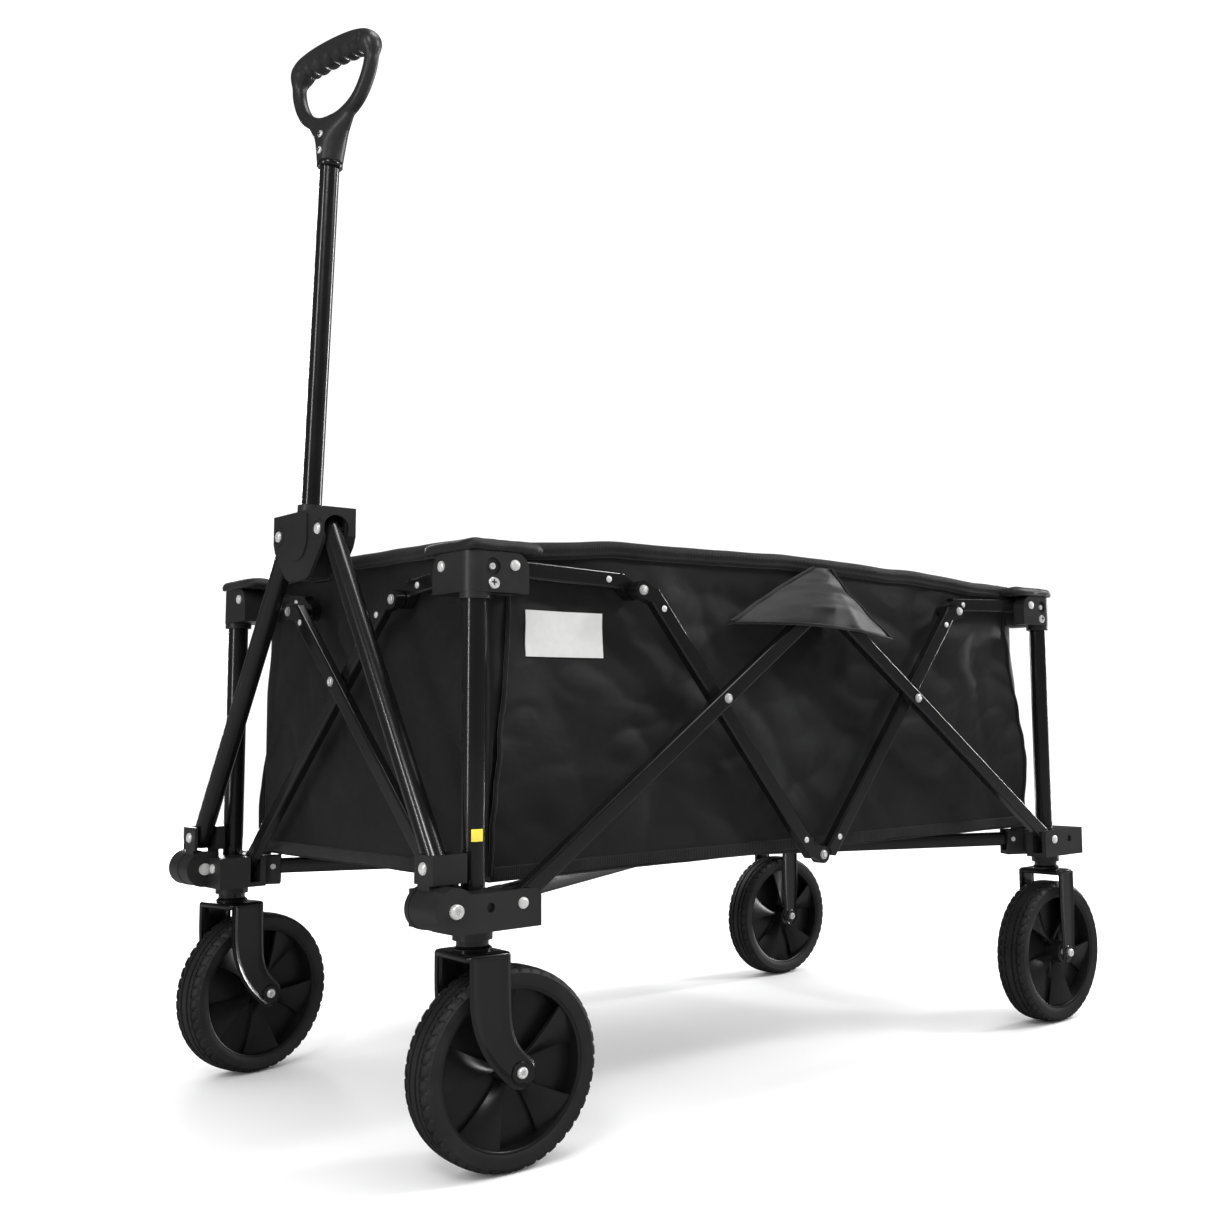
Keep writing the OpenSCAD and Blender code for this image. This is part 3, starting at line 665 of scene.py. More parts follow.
def rim(corner):
    shape = Shape()
    barrel = [(69.6, -15.5), (70, -17.4), (71.2, -18.3), (72.6, -18.4), (73.2, -17.6), (72.2, -16.6),
              (72.2, 16.6), (73.2, 17.6), (72.6, 18.4), (71.2, 18.3), (70, 17.4), (69.6, 15.5)]
    hub = [(4.4, -22), (9.5, -22), (10.5, -24), (12.4, -24.4), (13.6, -23.4), (14.2, -10), (14.2, 10),
           (13.6, 23.4), (12.4, 24.4), (10.5, 24), (9.5, 22), (4.4, 22)]
    shape.add(revolve(barrel, 120))
    shape.add(revolve(hub, 40))
    shape.add(revolve([(13, -2), (70.5, -2), (70.5, 2), (13, 2)], 80))
    for i in range(5):
        for face in (-1, 1):
            shape.add(fan_blade(FAN_PHASE[corner] + 72 * i, face))
    solid = placed(shape, wheel_matrix(corner))
    obj = make("rim_fan_" + corner, solid, RIM, "wheel_" + corner, 38)
    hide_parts("rim_" + corner)


def fork_leg(back, top, foot, side):
    """A pressed steel leg that turns back low down, with a rolled bead along both edges and a
    round foot about the axle."""
    drop = 194 - AXLE_Z
    rows = [(Vector((back * t ** 4, 194 - drop * t)), mix(top, foot, smooth((t - 0.35) / 0.65)), 1)
            for t in (i / 24 for i in range(25))]
    slope = Vector((4 * back, -drop)).normalized()
    for i in range(1, 10):
        a = math.pi / 2 * i / 9
        rows.append((rows[24][0] + slope * foot * math.sin(a), foot * max(math.cos(a), 0.05), math.cos(a)))
    grid = []
    for i, (middle, half, share) in enumerate(rows):
        run = slope if i >= 24 else (rows[i + 1][0] - rows[max(i - 1, 0)][0]).normalized()
        row = []
        for j in range(15):
            s = j / 7 - 1
            spot = middle + Vector((-run.y, run.x)) * half * s
            bead = 1.8 * math.exp(-((abs(s) - 0.84) / 0.13) ** 2) * share
            row.append(Vector((spot.x, side * (30 + bead), spot.y)))
        grid.append(row)
    return thick(grid, 1.6, 1.6)


def fork(corner):
    front = corner.startswith("front")
    back, top, foot = (TRAIL, 20, 14) if front else (0, 15, 12)
    shape = Shape()
    for side in (-1, 1):
        shape.add(fork_leg(back, top, foot, side))
    width, depth = 2 * top + 5, 65
    shape.add(stack([(rounded(width - 4, depth - 4, 5), 189.8), (rounded(width - 0.6, depth - 0.6, 6), 191),
                     (rounded(width + 0.6, depth + 0.6, 6), 193), (rounded(width, depth, 6), 194.8),
                     (rounded(width - 2.4, depth - 2.4, 6), 196), (rounded(width - 6, depth - 6, 5), 196.4)]))
    shape.add(turned([(2, 195), (16.6, 195), (17.4, 196.6), (17.4, 198.6), (15.6, 200), (14.6, 201),
                      (14.6, 205.6), (2, 205.6)]))
    owner = "caster_" + corner if front else "corner_" + corner
    solid = placed(shape, caster_matrix(corner))
    obj = make("fork_steel_" + corner, solid, COAT, owner, 42)
    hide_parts("fork_" + corner)
    axle = Matrix.Translation((back, 0, AXLE_Z))
    bolts, bushes = Shape(), Shape()
    for side in (-1, 1):
        bush = [(0.01, 31.4), (9.5, 31.4), (9.5, 32.6), (8.8, 33.2), (0.01, 33.2)]
        head = [(0.01, 34.4), (1.9, 34.4), (2.4, 36.3), (4, 36.3), (4.9, 35.3), (4.9, 33.1), (0.01, 33.1)]
        bushes.add(revolve([(r, side * y) for r, y in bush], 32), axle)
        bolts.add(revolve([(r, side * y) for r, y in head], 24), axle)
    bolts.add(revolve([(0.01, -33), (4, -33), (4, 33), (0.01, 33)], 16), axle)
    make("axle_bolt_" + corner, placed(bolts, caster_matrix(corner)), ZINC, owner, 30)
    make("axle_bush_" + corner, placed(bushes, caster_matrix(corner)), COAT, owner, 30)


for corner in CORNERS:
    tyre(corner)
    rim(corner)
    fork(corner)


# ---- Handle ----

LEG_X = -HALF_X - 37
SHAFT_L = 385
YOKE_TOP = 619
SHAFT_LEAN = 2
GRIP_TURN = 8


def handle_frame(height, turn=0):
    """From millimetres on the shaft's axis, height above the yoke, to the wagon."""
    foot = Matrix.Translation(from_middle(LEG_X, 0, YOKE_TOP))
    lean = Matrix.Rotation(math.radians(SHAFT_LEAN), 4, "Y")
    spin = Matrix.Rotation(math.radians(turn), 4, "Z")
    return foot @ lean @ Matrix.Translation((0, 0, height * MM)) @ spin @ Matrix.Scale(MM, 4)


def spline(points, steps, closed=False):
    """A smooth curve through points, steps pieces between each two."""
    count = len(points)
    out = []
    for i in range(count if closed else count - 1):
        p = [points[(i + k) % count] if closed else points[min(max(i + k, 0), count - 1)]
             for k in (-1, 0, 1, 2)]
        for k in range(steps):
            t = k / steps
            out.append(0.5 * (2 * p[1] + (p[2] - p[0]) * t
                              + (2 * p[0] - 5 * p[1] + 4 * p[2] - p[3]) * t * t
                              + (3 * p[1] - p[0] - 3 * p[2] + p[3]) * t ** 3))
    if not closed:
        out.append(points[-1])
    return out


def bake(obj):
    """Applies an object's modifiers to its mesh."""
    graph = bpy.context.evaluated_depsgraph_get()
    mesh = bpy.data.meshes.new_from_object(obj.evaluated_get(graph))
    obj.modifiers.clear()
    old = obj.data
    obj.data = mesh
    bpy.data.meshes.remove(old)


# The loop's middle line, as (across, height), and the neck's (height, width, depth)
GRIP_HALF = [(0, 46), (16, 47), (32, 52), (45, 60), (55, 72), (62, 86), (65, 99), (63.5, 111),
             (56, 120.5), (40, 125), (20, 127), (0, 127.5)]
GRIP_NECK = [(-2, 13.8, 13.6), (8, 15.4, 14.6), (20, 18.8, 15), (30, 24.5, 13.8), (38, 32, 11.6),
             (45, 38, 9.4), (49, 39, 7)]


def grip():
    """A D-shaped handle: a thick bar with finger grooves, thin sides and a neck down to the shaft."""
    points = [Vector((0, y, z)) for y, z in GRIP_HALF]
    points += [Vector((0, -y, z)) for y, z in reversed(GRIP_HALF[1:-1])]
    path = spline(points, 8, closed=True)
    count = len(path)

    def section(share):
        point = path[round(share * (count - 1))]
        bar = smooth((point.z - 100) / 17)
        wide, deep = mix(15, 26, bar), mix(15, 25, bar)
        groove = 4.6 * abs(math.sin(math.pi * point.y / 19)) * smooth((50 - abs(point.y)) / 8) * bar
        return [(a - groove if a < 0 else a, b) for a, b in rounded(wide, deep, 0.46 * min(wide, deep), 6)]

    neck = stack([(ring(wide, 48, deep / wide), z) for z, wide, deep in GRIP_NECK])
    neck = [Vector((y, x, z)) for x, y, z in neck[0]], neck[1]
    shape = Shape().add(sweep(path, section, (1, 0, 0), True, 1)).add(neck)
    obj = make("grip_loop", shape, BLACK)
    remesh = obj.modifiers.new("remesh", "REMESH")
    remesh.mode = "VOXEL"
    remesh.voxel_size = 1.4
    soften = obj.modifiers.new("soften", "SMOOTH")
    soften.factor = 0.5
    soften.iterations = 5
    bake(obj)
    obj.data.transform(handle_frame(SHAFT_L, GRIP_TURN))
    for polygon in obj.data.polygons:
        polygon.use_smooth = True
    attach(obj, "handle")
    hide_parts("grip")
    trim = Shape()
    for y in (54, -54):
        ring_path = [Vector((-11.6, y + 4.4 * math.cos(a), 120.5 + 4.4 * math.sin(a)))
                     for a in (2 * math.pi * i / 24 for i in range(24))]
        trim.add(sweep(ring_path, ring(1.2, 8), (1, 0, 0), True, 1))
        verts, faces = revolve([(0.01, 0.9), (2.2, 0.7), (3, 0), (0.01, -1)], 16)
        trim.add(([Vector((-v.y - 11.6, y + v.x, 120.5 + v.z)) for v in verts], faces))
    make("grip_trim", placed(trim, handle_frame(SHAFT_L, GRIP_TURN)), BLACK, "handle")
    collar = turned([(10.5, -7), (12.8, -7), (13.6, -6), (13.6, -2.4), (13, -1.6), (10.5, -1.6)], 40)
    make("grip_collar", placed(collar, handle_frame(SHAFT_L)), COAT, "handle")
    # Painted shade: dark bars on the grip screws' heads stand for the shade in their cross recesses.
    screws, painted_recess_shades = Shape(), Shape()
    forwards = handle_frame(SHAFT_L, GRIP_TURN).to_3x3() @ Vector((-1, 0, 0))
    for z, out in ((9, 14.2), (27, 13.9)):
        spot = handle_frame(SHAFT_L, GRIP_TURN) @ Vector((-out, 0, z))
        screws.add(dome(spot, forwards, 4.1, 1.9))
        painted_recess_shades.add(cross(spot, forwards, 2.4, 0.6, 1.95))
    obj = make("grip_screw_heads", screws, ZINC, "handle")
    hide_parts("grip_screws")
    make("grip_screw_recess_shade_bars", painted_recess_shades, BLACK, "handle")


grip()


LEG_TOP_Y = 44
LEG_TOP_Z = 597
LEG_FOOT_Z = 272
# The yoke's and the lower tubes' front face
YOKE_FACE = LEG_X - 14.5


def leg_rivets():
    """A rivet at each end of the lower handle tubes, the upper one in a raised ring."""
    for side, across in (("left", -1), ("right", 1)):
        y = across * LEG_TOP_Y
        turns = [2 * math.pi * i / 32 for i in range(32)]
        path = [from_middle(YOKE_FACE, y + 9.2 * math.cos(a), LEG_TOP_Z + 9.2 * math.sin(a)) for a in turns]
        make("yoke_ring_" + side, sweep(path, ring(1.1, 8), (1, 0, 0), True), BLACK, "handle")
        spot = from_middle(YOKE_FACE, y, LEG_TOP_Z)
        make("yoke_rivet_" + side, dome(spot, (-1, 0, 0), 6, 3), ZINC, "handle")
        foot = from_middle(YOKE_FACE, across * HALF_Y, LEG_FOOT_Z)
        make("leg_rivet_" + side, dome(foot, (-1, 0, 0), 6, 3), ZINC, "handle_leg_" + side)


leg_rivets()


# ---- Floor ----

STRUT_START = (36, 31)
STRUT_Z = 236
HUB_R = 42
FLOOR_Z = 252
MAT_INSET = 52
BASE_INSET = 26
QUILT_ROWS = 24


def kept(half, keep, inset):
    """The share of its length that a piece between two corners keeps, when it stops inset
    millimetres short of each post."""
    return (2 * half * keep - 2 * inset) / (2 * half - 2 * inset)


def squash_x(obj, inset=0.0):
    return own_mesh(obj, "fold", axis=(1, 0, 0), anchor=at("front_left", inset, 0, 0),
                     keep=kept(HALF_X, KEEP_X, inset))


def squash_y(obj, corner, inset=0.0):
    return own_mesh(obj, "fold", axis=(0, 1, 0), anchor=at(corner, 0, inset, 0),
                     keep=kept(HALF_Y, KEEP_Y, inset))


def floor_struts(side):
    across = -1 if side == "left" else 1
    shape = Shape()
    hub = from_middle(0, 0, STRUT_Z)
    for end in ("front_", "rear_"):
        start = at(end + side, *STRUT_START, STRUT_Z)
        direction = (hub - start).normalized()
        path = [start - direction * 8 * MM, start, start.lerp(hub, 0.5),
                hub - direction * (HUB_R - 3) * MM]
        shape.add(sweep(path, rounded(14, 17, 3)))
    for radius, low, high in ((HUB_R, -11, 8), (HUB_R - 6, 8, 11)):
        half = [(radius * math.cos(a), across * (0.4 + radius * math.sin(a)))
                for a in (math.pi * i / 28 for i in range(29))]
        inner = [(x * 0.97, across * 0.4 + (y - across * 0.4) * 0.97) for x, y in half]
        solid = stack([(inner, STRUT_Z + low), (half, STRUT_Z + low + 1.5), (half, STRUT_Z + high - 1.5),
                       (inner, STRUT_Z + high)])
        shape.add(solid, Matrix.Translation((MIDDLE.x, MIDDLE.y, 0)) @ Matrix.Scale(MM, 4))
    obj = make("struts_and_hub_" + side, shape, COAT, "floor_struts_" + side)
    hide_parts("floor_struts_" + side)
    squash_x(obj)


def floor_half(side):
    """The padded mat on one half of the floor, quilted in four panels, and the cloth under it."""
    across = -1 if side == "left" else 1
    length, width = HALF_X - MAT_INSET, HALF_Y - 27
    rows, cols = 97, 29
    mat = []
    for i in range(rows):
        x = mix(-length, length, i / (rows - 1))
        panel = (i % QUILT_ROWS) / QUILT_ROWS
        row = []
        for j in range(cols):
            y = mix(1.5, width, j / (cols - 1))
            crown = (4 * panel * (1 - panel)) ** 0.35 * (4 * (j / 28) * (1 - j / 28)) ** 0.3
            z = FLOOR_Z + 4.5 + 2.6 * crown + 0.5 * noise.noise(Vector((x, y, 3)) / 40)
            row.append(from_middle(x, across * y, z))
        mat.append(row)
    obj = make("floor_mat_" + side, thick(mat, 1.8 * MM, 1.8 * MM), FLOOR_CLOTH, "floor_struts_" + side,
               60)
    squash_x(obj, MAT_INSET)
    under = []
    long, wide = HALF_X - BASE_INSET, HALF_Y - 13
    for i in range(41):
        x = mix(-long, long, i / 40)
        row = []
        for j in range(13):
            y = mix(0.8, wide, j / 12)
            z = FLOOR_Z + 0.8 + 0.7 * noise.noise(Vector((x, y, 11)) / 60)
            row.append(from_middle(x, across * y, z))
        under.append(row)
    base = make("bag_floor_" + side, thick(under, 0.7 * MM, 0.7 * MM), FLOOR_CLOTH,
                "floor_struts_" + side, 60)
    wide * MM
    2 * long * MM
    "struts_and_hub_" + side
    squash_x(base, BASE_INSET)
    return obj


for side in ("left", "right"):
    floor_struts(side)
    floor_mat = floor_half(side)
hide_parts("floor_board")


# ---- Bag ----

HEM_Z = 258
WALL_TOP = 566
PANEL_INSET = 40
CLOTH = 0.8 * MM
SIDE_RIM_Z = [(-400, 563.5), (-252, 573), (0, 576), (180, 572), (339, 564.5), (400, 562)]
END_RIM_Z = [(-210, 563), (0, 566), (210, 563)]


def sewn(name, solid, material, body):
    """A piece of the bag's cloth or binding."""
    return make(name, solid, material, body, 70)


def along_curve(table, x):
    """A smooth value between the entries of a table of (place, value)."""
    for (x0, z0), (x1, z1) in zip(table, table[1:]):
        if x <= x1:
            return mix(z0, z1, smooth((x - x0) / (x1 - x0)))
    return table[-1][1]


def folds(a, b, seed):
    """Crumples of woven cloth, sharp along their ridges, as a height over a flat panel."""
    bend = noise.noise(Vector((a / 130, b / 130, seed))) * 45
    high = 0.9 * noise.noise(Vector((a / 130, b / 170, seed + 3)))
    for k, (size, lean, share) in enumerate(((120, 0.5, 0.5), (70, -0.8, 0.42), (42, 0.15, 0.2))):
        p, q = a + bend, b - bend * 0.7
        along = p * math.cos(lean) + q * math.sin(lean)
        across = q * math.cos(lean) - p * math.sin(lean)
        ridge = 1 - 3.4 * abs(noise.noise(Vector((along / (size * 1.5), across / size, seed + 7 * k))))
        high += share * max(ridge, -0.4)
    return high - 0.2


def seam_in(z):
    """How far in from a post the corner seam runs at a height."""
    return mix(27, 50, smooth((z - 300) / 220))


def side_wall(x, z, seed):
    """Distance of a side wall inwards from the post plane."""
    u = HALF_X - abs(x)
    t = (z - HEM_Z) / (WALL_TOP - HEM_Z)
    v = 15 - 3.5 * math.sin(math.pi * min(t * 1.1, 1)) + 3 * smooth((t - 0.5) * 2)
    hold = max(0.0, min(1.0, 4 * t + 0.25, 6 * (1 - t) + 0.15))
    v += 6.5 * hold * folds(x, z, seed)
    near_link = smooth((z - 495) / 25) * smooth((210 - u) / 30)
    v = mix(v, max(v, 16.5), near_link)
    v = mix(v, max(v, 21), smooth((64 - u) / 12) * smooth((z - 490) / 25))
    return max(v, 5)


def end_wall(y, z, seed):
    """Distance of an end wall inwards from the post plane."""
    t = (z - HEM_Z) / (WALL_TOP - HEM_Z)
    u = 28 - 3 * math.sin(math.pi * min(t * 1.1, 1))
    hold = max(0.0, min(1.0, 4 * t + 0.25, 6 * (1 - t) + 0.15))
    u += 3.6 * hold * folds(y, z, seed)
    near_edge = smooth((90 - (HALF_Y - abs(y))) / 40)
    u = mix(u, max(u, 29), near_edge * smooth((z - 490) / 25))
    return max(u, mix(17, 26, smooth((z - 480) / 25)))


def side_point(side, x, z, lift=0.0):
    across = -1 if side == "left" else 1
    v = side_wall(x, z, 3.7 if side == "left" else 18.2) - lift
    return from_middle(x, across * (HALF_Y - v), z)


def end_point(end, y, z, lift=0.0):
    along = -1 if end == "front" else 1
    u = end_wall(y, z, 31.4 if end == "front" else 44.9) - lift
    return from_middle(along * (HALF_X - u), y, z)


def side_panel(side):
    rows, cols = 90, 230
    grid = []
    for i in range(rows):
        reach = HALF_X - seam_in(mix(HEM_Z, WALL_TOP, i / (rows - 1)))
        row = []
        for j in range(cols):
            x = mix(-reach, reach, j / (cols - 1))
            row.append(side_point(side, x, mix(HEM_Z, along_curve(SIDE_RIM_Z, x) - 1, i / (rows - 1))))
        grid.append(row)
    obj = sewn("side_panel_" + side, thick(grid, CLOTH, CLOTH), SIDE_CLOTH, "corner_front_" + side)
    "side_rim_" + side
    "side_hem_" + side
    squash_x(obj, PANEL_INSET)
    return obj


def end_panel(end):
    rows, cols = 90, 120
    grid = []
    for i in range(rows):
        z = mix(HEM_Z, 568, i / (rows - 1))
        reach = HALF_Y - seam_in(z) - 4
        grid.append([end_point(end, mix(-reach, reach, j / (cols - 1)), z) for j in range(cols)])
    obj = sewn("end_panel_" + end, thick(grid, CLOTH, CLOTH), END_CLOTH, "corner_" + end + "_left")
    "end_rim_" + end
    "end_hem_" + end
    squash_y(obj, end + "_left", PANEL_INSET)


def rim_section(width, height):
    """A bound edge: a flattened tube with a sewn line along both faces."""
    points = []
    for i in range(36):
        c, s = math.cos(math.pi * i / 18), math.sin(math.pi * i / 18)
        a = width / 2 * math.copysign(abs(c) ** 0.7, c)
        b = height / 2 * math.copysign(abs(s) ** 0.75, s)
        points.append((a * (1 - 0.24 * math.exp(-((b + height * 0.14) / 1.2) ** 2)), b))
    return points


def side_rim(side):
    across = -1 if side == "left" else 1
    reach = HALF_X - 46
    path = []
    for i in range(161):
        x = mix(-reach, reach, i / 160)
        z = along_curve(SIDE_RIM_Z, x) + 1.3 * noise.noise(Vector((x / 60, 2, across)))
        v = 16.5 + 1.8 * noise.noise(Vector((x / 85, 7, across)))
        path.append(from_middle(x, across * (HALF_Y - v), z))
    obj = sewn("side_rim_" + side, sweep(path, rim_section(13, 17)), SIDE_TAPE, "corner_front_" + side)
    squash_x(obj, PANEL_INSET)


def end_rim(end):
    along = -1 if end == "front" else 1
    reach = HALF_Y - 46
    path = []
    for i in range(91):
        y = mix(-reach, reach, i / 90)
        z = along_curve(END_RIM_Z, y) + 6 + 1.2 * noise.noise(Vector((y / 60, 4, along)))
        u = 24 + 1.6 * noise.noise(Vector((y / 85, 9, along)))
        path.append(from_middle(along * (HALF_X - u), y, z))
    obj = sewn("end_rim_" + end, sweep(path, rim_section(12, 15)), END_TAPE, "corner_" + end + "_left")
    squash_y(obj, end + "_left", PANEL_INSET)


def hems():
    """Bound bottom edges of the four walls."""
    for side in ("left", "right"):
        reach = HALF_X - 30
        path = [side_point(side, mix(-reach, reach, i / 120), HEM_Z + 2) for i in range(121)]
        obj = sewn("side_hem_" + side, sweep(path, rounded(5.5, 13, 2.2)), SIDE_TAPE,
                   "corner_front_" + side)
        squash_x(obj, PANEL_INSET)
    for end in ("front", "rear"):
        reach = HALF_Y - 34
        path = [end_point(end, mix(-reach, reach, i / 70), HEM_Z + 2) for i in range(71)]
        obj = sewn("end_hem_" + end, sweep(path, rounded(5.5, 13, 2.2)), END_TAPE,
                   "corner_" + end + "_left")
        squash_y(obj, end + "_left", PANEL_INSET)


def corner_strip(corner):
    """The cloth that turns the corner behind a post, with its piped seams."""
    grid = []
    for i in range(46):
        z = mix(HEM_Z, 560, i / 45)
        seam = seam_in(z)
        side_v = mix(16, 20.8, smooth((z - 430) / 60))
        end_u = mix(27.5, 29.2, smooth((z - 430) / 60))
        corners = [(seam + 9, side_v + 1.6), (seam, side_v + 1), (mix(end_u, seam, 0.5) + 2, side_v + 0.8),
                   (end_u + 4, side_v + 2), (end_u + 1, side_v + 6),
                   (end_u + 0.6, mix(side_v + 6, seam, 0.6) + 2), (end_u + 1, seam + 4),
                   (end_u + 1.4, seam + 14)]
        curve = spline([Vector((u, v, 0)) for u, v in corners], 4)
        grid.append([at(corner, p.x, p.y, z) for p in curve])
    obj = sewn("corner_cloth_" + corner, thick(grid, CLOTH, CLOTH), SIDE_CLOTH, "corner_" + corner)
    "corner_cap_" + corner
    along, across = CORNERS[corner]
    side = "left" if across > 0 else "right"
    path = []
    for i in range(40):
        z = mix(HEM_Z, 556, i / 39)
        x = -along * (HALF_X - seam_in(z))
        path.append(side_point(side, x, z, 1.2))
    pipe = sewn("corner_piping_" + corner, sweep(path, ring(2.3, 10), (0, 1, 0)), SIDE_TAPE,
                "corner_" + corner)


CAP_OUTLINE = [(62, -15), (20, -16), (-4, -16), (-13, -13), (-16, -4), (-16, 20), (-15, 62), (4, 64),
               (26, 62), (31, 48), (34, 34), (48, 27), (62, 25), (65, 4)]


def corner_cap(corner):
    """The bag's cloth corner, laid over a top bracket and turned down round it."""
    outline = [(p.x, p.y) for p in spline([Vector((u, v, 0)) for u, v in CAP_OUTLINE], 5, closed=True)]

    def scaled(share):
        return [(18 + (x - 18) * share, 18 + (y - 18) * share) for x, y in outline]

    rings = [(scaled(1.0), 557.4), (scaled(1.03), 559), (scaled(1.035), 561.8), (scaled(1.01), 564.8),
             (scaled(0.95), 567), (scaled(0.82), 568.4), (scaled(0.55), 569.2), (scaled(0.3), 569.6)]
    verts, faces = stack([(scaled(0.3), 558), (scaled(0.9), 557.8)] + rings)
    ripple = [1.4 * abs(noise.noise(Vector((v.x / 16, v.y / 16, CORNERS[corner][0] + 5)))) for v in verts]
    solid = [at(corner, v.x, v.y, v.z + r) for v, r in zip(verts, ripple)], faces
    obj = make("corner_cap_" + corner, solid, FLOOR_CLOTH, "corner_" + corner, 50)


def flap(side):
    """The cloth tent over the long braces' upper joint: sewn on at its point, loose below."""
    across = -1 if side == "left" else 1
    rows, cols = 40, 64
    middle = [(0, 6), (0.25, -8), (0.5, -29), (0.72, -39), (1, -40)]
    edge = [(0, 8), (0.3, 6), (0.6, -4), (1, -18)]

    def place(s, t):
        x = mix(mix(16, -142, s), mix(44, 119, s), (t + 1) / 2)
        low = mix(501, 491, (t + 1) / 2) + 5 * (1 - t * t)
        z = mix(572, low, s)
        bulge = 1 - abs(t) ** 1.7
        v = mix(along_curve(edge, s), along_curve(middle, s), bulge)
        v += 2.2 * s * noise.noise(Vector((x / 45, z / 60, across * 3)))
        v -= 2.5 * s * math.exp(-((t - 0.45 * s) / 0.1) ** 2)
        return from_middle(x, across * (HALF_Y - v), z)

    grid = [[place(i / (rows - 1), 2 * j / (cols - 1) - 1) for j in range(cols)] for i in range(rows)]
    obj = sewn("joint_flap_" + side, thick(grid, CLOTH, CLOTH), SIDE_CLOTH, "corner_front_" + side)
    "side_rim_" + side
    squash_x(obj, PANEL_INSET)
    border = [place(i / 24, -1) for i in range(25)]
    border += [place(1, 2 * j / 40 - 1) for j in range(1, 41)]
    border += [place(1 - i / 24, 1) for i in range(1, 25)]
    hem = sewn("flap_hem_" + side, sweep(border, rounded(3, 7, 1.3), (0, 1, 0)), SIDE_TAPE,
               "corner_front_" + side)
    squash_x(hem, PANEL_INSET)


def label():
    """A plain pale patch sewn to the left wall."""
    grid = []
    for i in range(10):
        z = mix(462, 507, i / 9)
        grid.append([side_point("left", mix(-378, -284, j / 20), z, 1.6) for j in range(21)])
    obj = make("side_label", thick(grid, 0.4 * MM, 0.5 * MM), PALE, "corner_front_left", 60)
    squash_x(obj, PANEL_INSET)


TAG_R = 11.9
TAG_FROM = 227


def tag(name, corner, low, high, start, end, material):
    """A small label round a post, between two heights and two turns from TAG_FROM degrees."""
    grid = []
    for i in range(7):
        row = []
        for j in range(11):
            a = math.radians(mix(TAG_FROM + start, TAG_FROM + end, j / 10))
            row.append(POST[corner] + Vector((TAG_R * math.cos(a), TAG_R * math.sin(a), 0)) * MM)
            row[-1].z = mix(low, high, i / 6) * MM
        grid.append(row)
    obj = make(name, thick(grid, 0.3 * MM, 0.3 * MM), material, "corner_" + corner, 60)
    arc = TAG_R * math.radians(end - start)
    arc * MM
    (high - low) * MM
    "post_" + corner


for side in ("left", "right"):
    panel = side_panel(side)
    side_rim(side)
    flap(side)
for end in ("front", "rear"):
    end_panel(end)
    end_rim(end)
hems()
for corner in CORNERS:
    corner_strip(corner)
    corner_cap(corner)
label()
tag("post_tag_front", "front_left", 293, 304, 2, 55, YELLOW)
tag("post_tag_rear", "rear_left", 295, 306, 44, 94, PALE)
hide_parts("bag")


# ---- Stage, light and camera ----

# The room's own light, and the much darker room that glossy surfaces mirror
WORLD_LIGHT = 1.12
WORLD_GLOSS = 0.1


def stage():
    bpy.ops.mesh.primitive_circle_add(vertices=64, radius=14, fill_type="NGON")
    floor = bpy.context.object
    floor.name = "studio_floor"
    s = Surface("studio_floor", (0.93, 0.93, 0.93), 0.8, specular_ior_level=0.0)
    # Painted reflection: the floor's colour is 0.93 for camera and diffuse rays but 0.16 for glossy rays, so
    # glossy parts mirror a dark floor.
    mirrored = s.tree.nodes.new("ShaderNodeLightPath").outputs["Is Glossy Ray"]
    s.ramp(mirrored, (0.93,) * 3, (0.16,) * 3, 0.0, 1.0)
    floor.data.materials.append(s.material)
    floor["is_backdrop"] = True
    world = bpy.data.worlds.new("studio")
    world.use_nodes = True
    tree = world.node_tree
    sky = tree.nodes["Background"]
    sky.inputs["Color"].default_value = (1, 1, 1, 1)
    dim = tree.nodes.new("ShaderNodeMapRange")
    dim.inputs["To Min"].default_value = WORLD_LIGHT
    dim.inputs["To Max"].default_value = WORLD_GLOSS
    path = tree.nodes.new("ShaderNodeLightPath")
    tree.links.new(path.outputs["Is Glossy Ray"], dim.inputs["Value"])
    tree.links.new(dim.outputs["Result"], sky.inputs["Strength"])
    bpy.context.scene.world = world


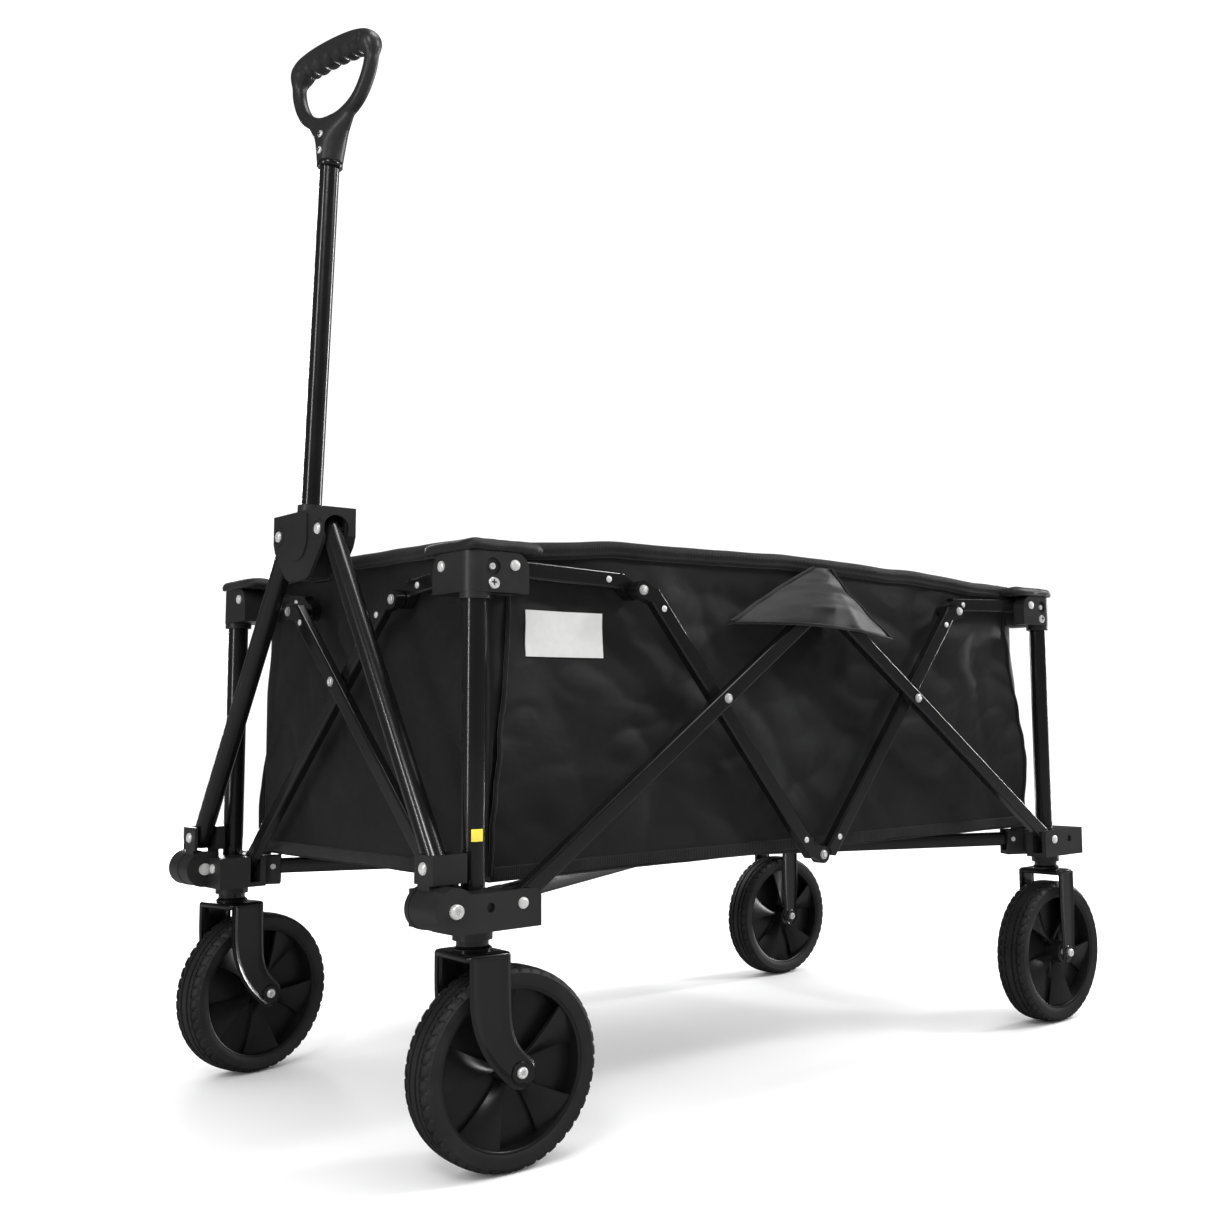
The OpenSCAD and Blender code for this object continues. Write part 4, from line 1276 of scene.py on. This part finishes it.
def soft_light(name, place, target, size, power):
    light = bpy.data.lights.new(name, "AREA")
    light.shape = "RECTANGLE"
    light.size, light.size_y = size
    light.energy = power
    obj = bpy.data.objects.new(name, light)
    obj.location = place
    obj.rotation_euler = (Vector(target) - Vector(place)).to_track_quat("-Z", "Y").to_euler()
    obj.visible_camera = False
    bpy.context.scene.collection.objects.link(obj)


CAMERA_OFFSET = (-1155.96, -1359.60, 401.39)
CAMERA_YAW = 43.24
CAMERA_PITCH = 6.23
CAMERA_ROLL = -0.73
LENS = 41.59
SHIFT = (-0.10446, -0.03542)


def photo_camera():
    data = bpy.data.cameras.new("photo_view")
    data.lens = LENS
    data.sensor_width = 36
    data.shift_x, data.shift_y = SHIFT
    data.clip_end = 60
    camera = bpy.data.objects.new("photo_view", data)
    yaw, pitch = math.radians(CAMERA_YAW), math.radians(CAMERA_PITCH)
    ahead = Vector((math.sin(yaw) * math.cos(pitch), math.cos(yaw) * math.cos(pitch), math.sin(pitch)))
    right = Vector((math.cos(yaw), -math.sin(yaw), 0))
    above = right.cross(ahead)
    roll = math.radians(CAMERA_ROLL)
    level = right * math.cos(roll) + above * math.sin(roll)
    up = above * math.cos(roll) - right * math.sin(roll)
    camera.matrix_world = Matrix((level, up, -ahead)).transposed().to_4x4()
    camera.location = Vector((MIDDLE.x, MIDDLE.y, 0)) + Vector(CAMERA_OFFSET) * MM
    bpy.context.scene.collection.objects.link(camera)
    bpy.context.scene.camera = camera


stage()
soft_light("key", (-2.4, -1.9, 2.7), (0, 0, 0.4), (0.8, 0.8), 28)
soft_light("top", (0.4, -0.3, 3.2), (0, 0, 0.3), (1.6, 1.2), 34)
soft_light("side", (2.3, -2.2, 2.9), (0.1, -0.2, 0.4), (0.6, 0.6), 46)
soft_light("left_strip", (0.7, 3.4, 1.2), (0, 0, 0.5), (0.25, 2.4), 50)
soft_light("right_strip", (3.3, -0.3, 1.2), (0, 0, 0.5), (0.25, 2.4), 60)
soft_light("front_strip", (-3.3, -0.2, 1.2), (0, 0, 0.5), (0.16, 2.2), 20)
photo_camera()
bpy.context.scene.view_settings.view_transform = "Standard"

boxes = {"cad": [list(map(float, corner)) for corner in cad_box],
         "visual": [list(map(float, corner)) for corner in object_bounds()]}
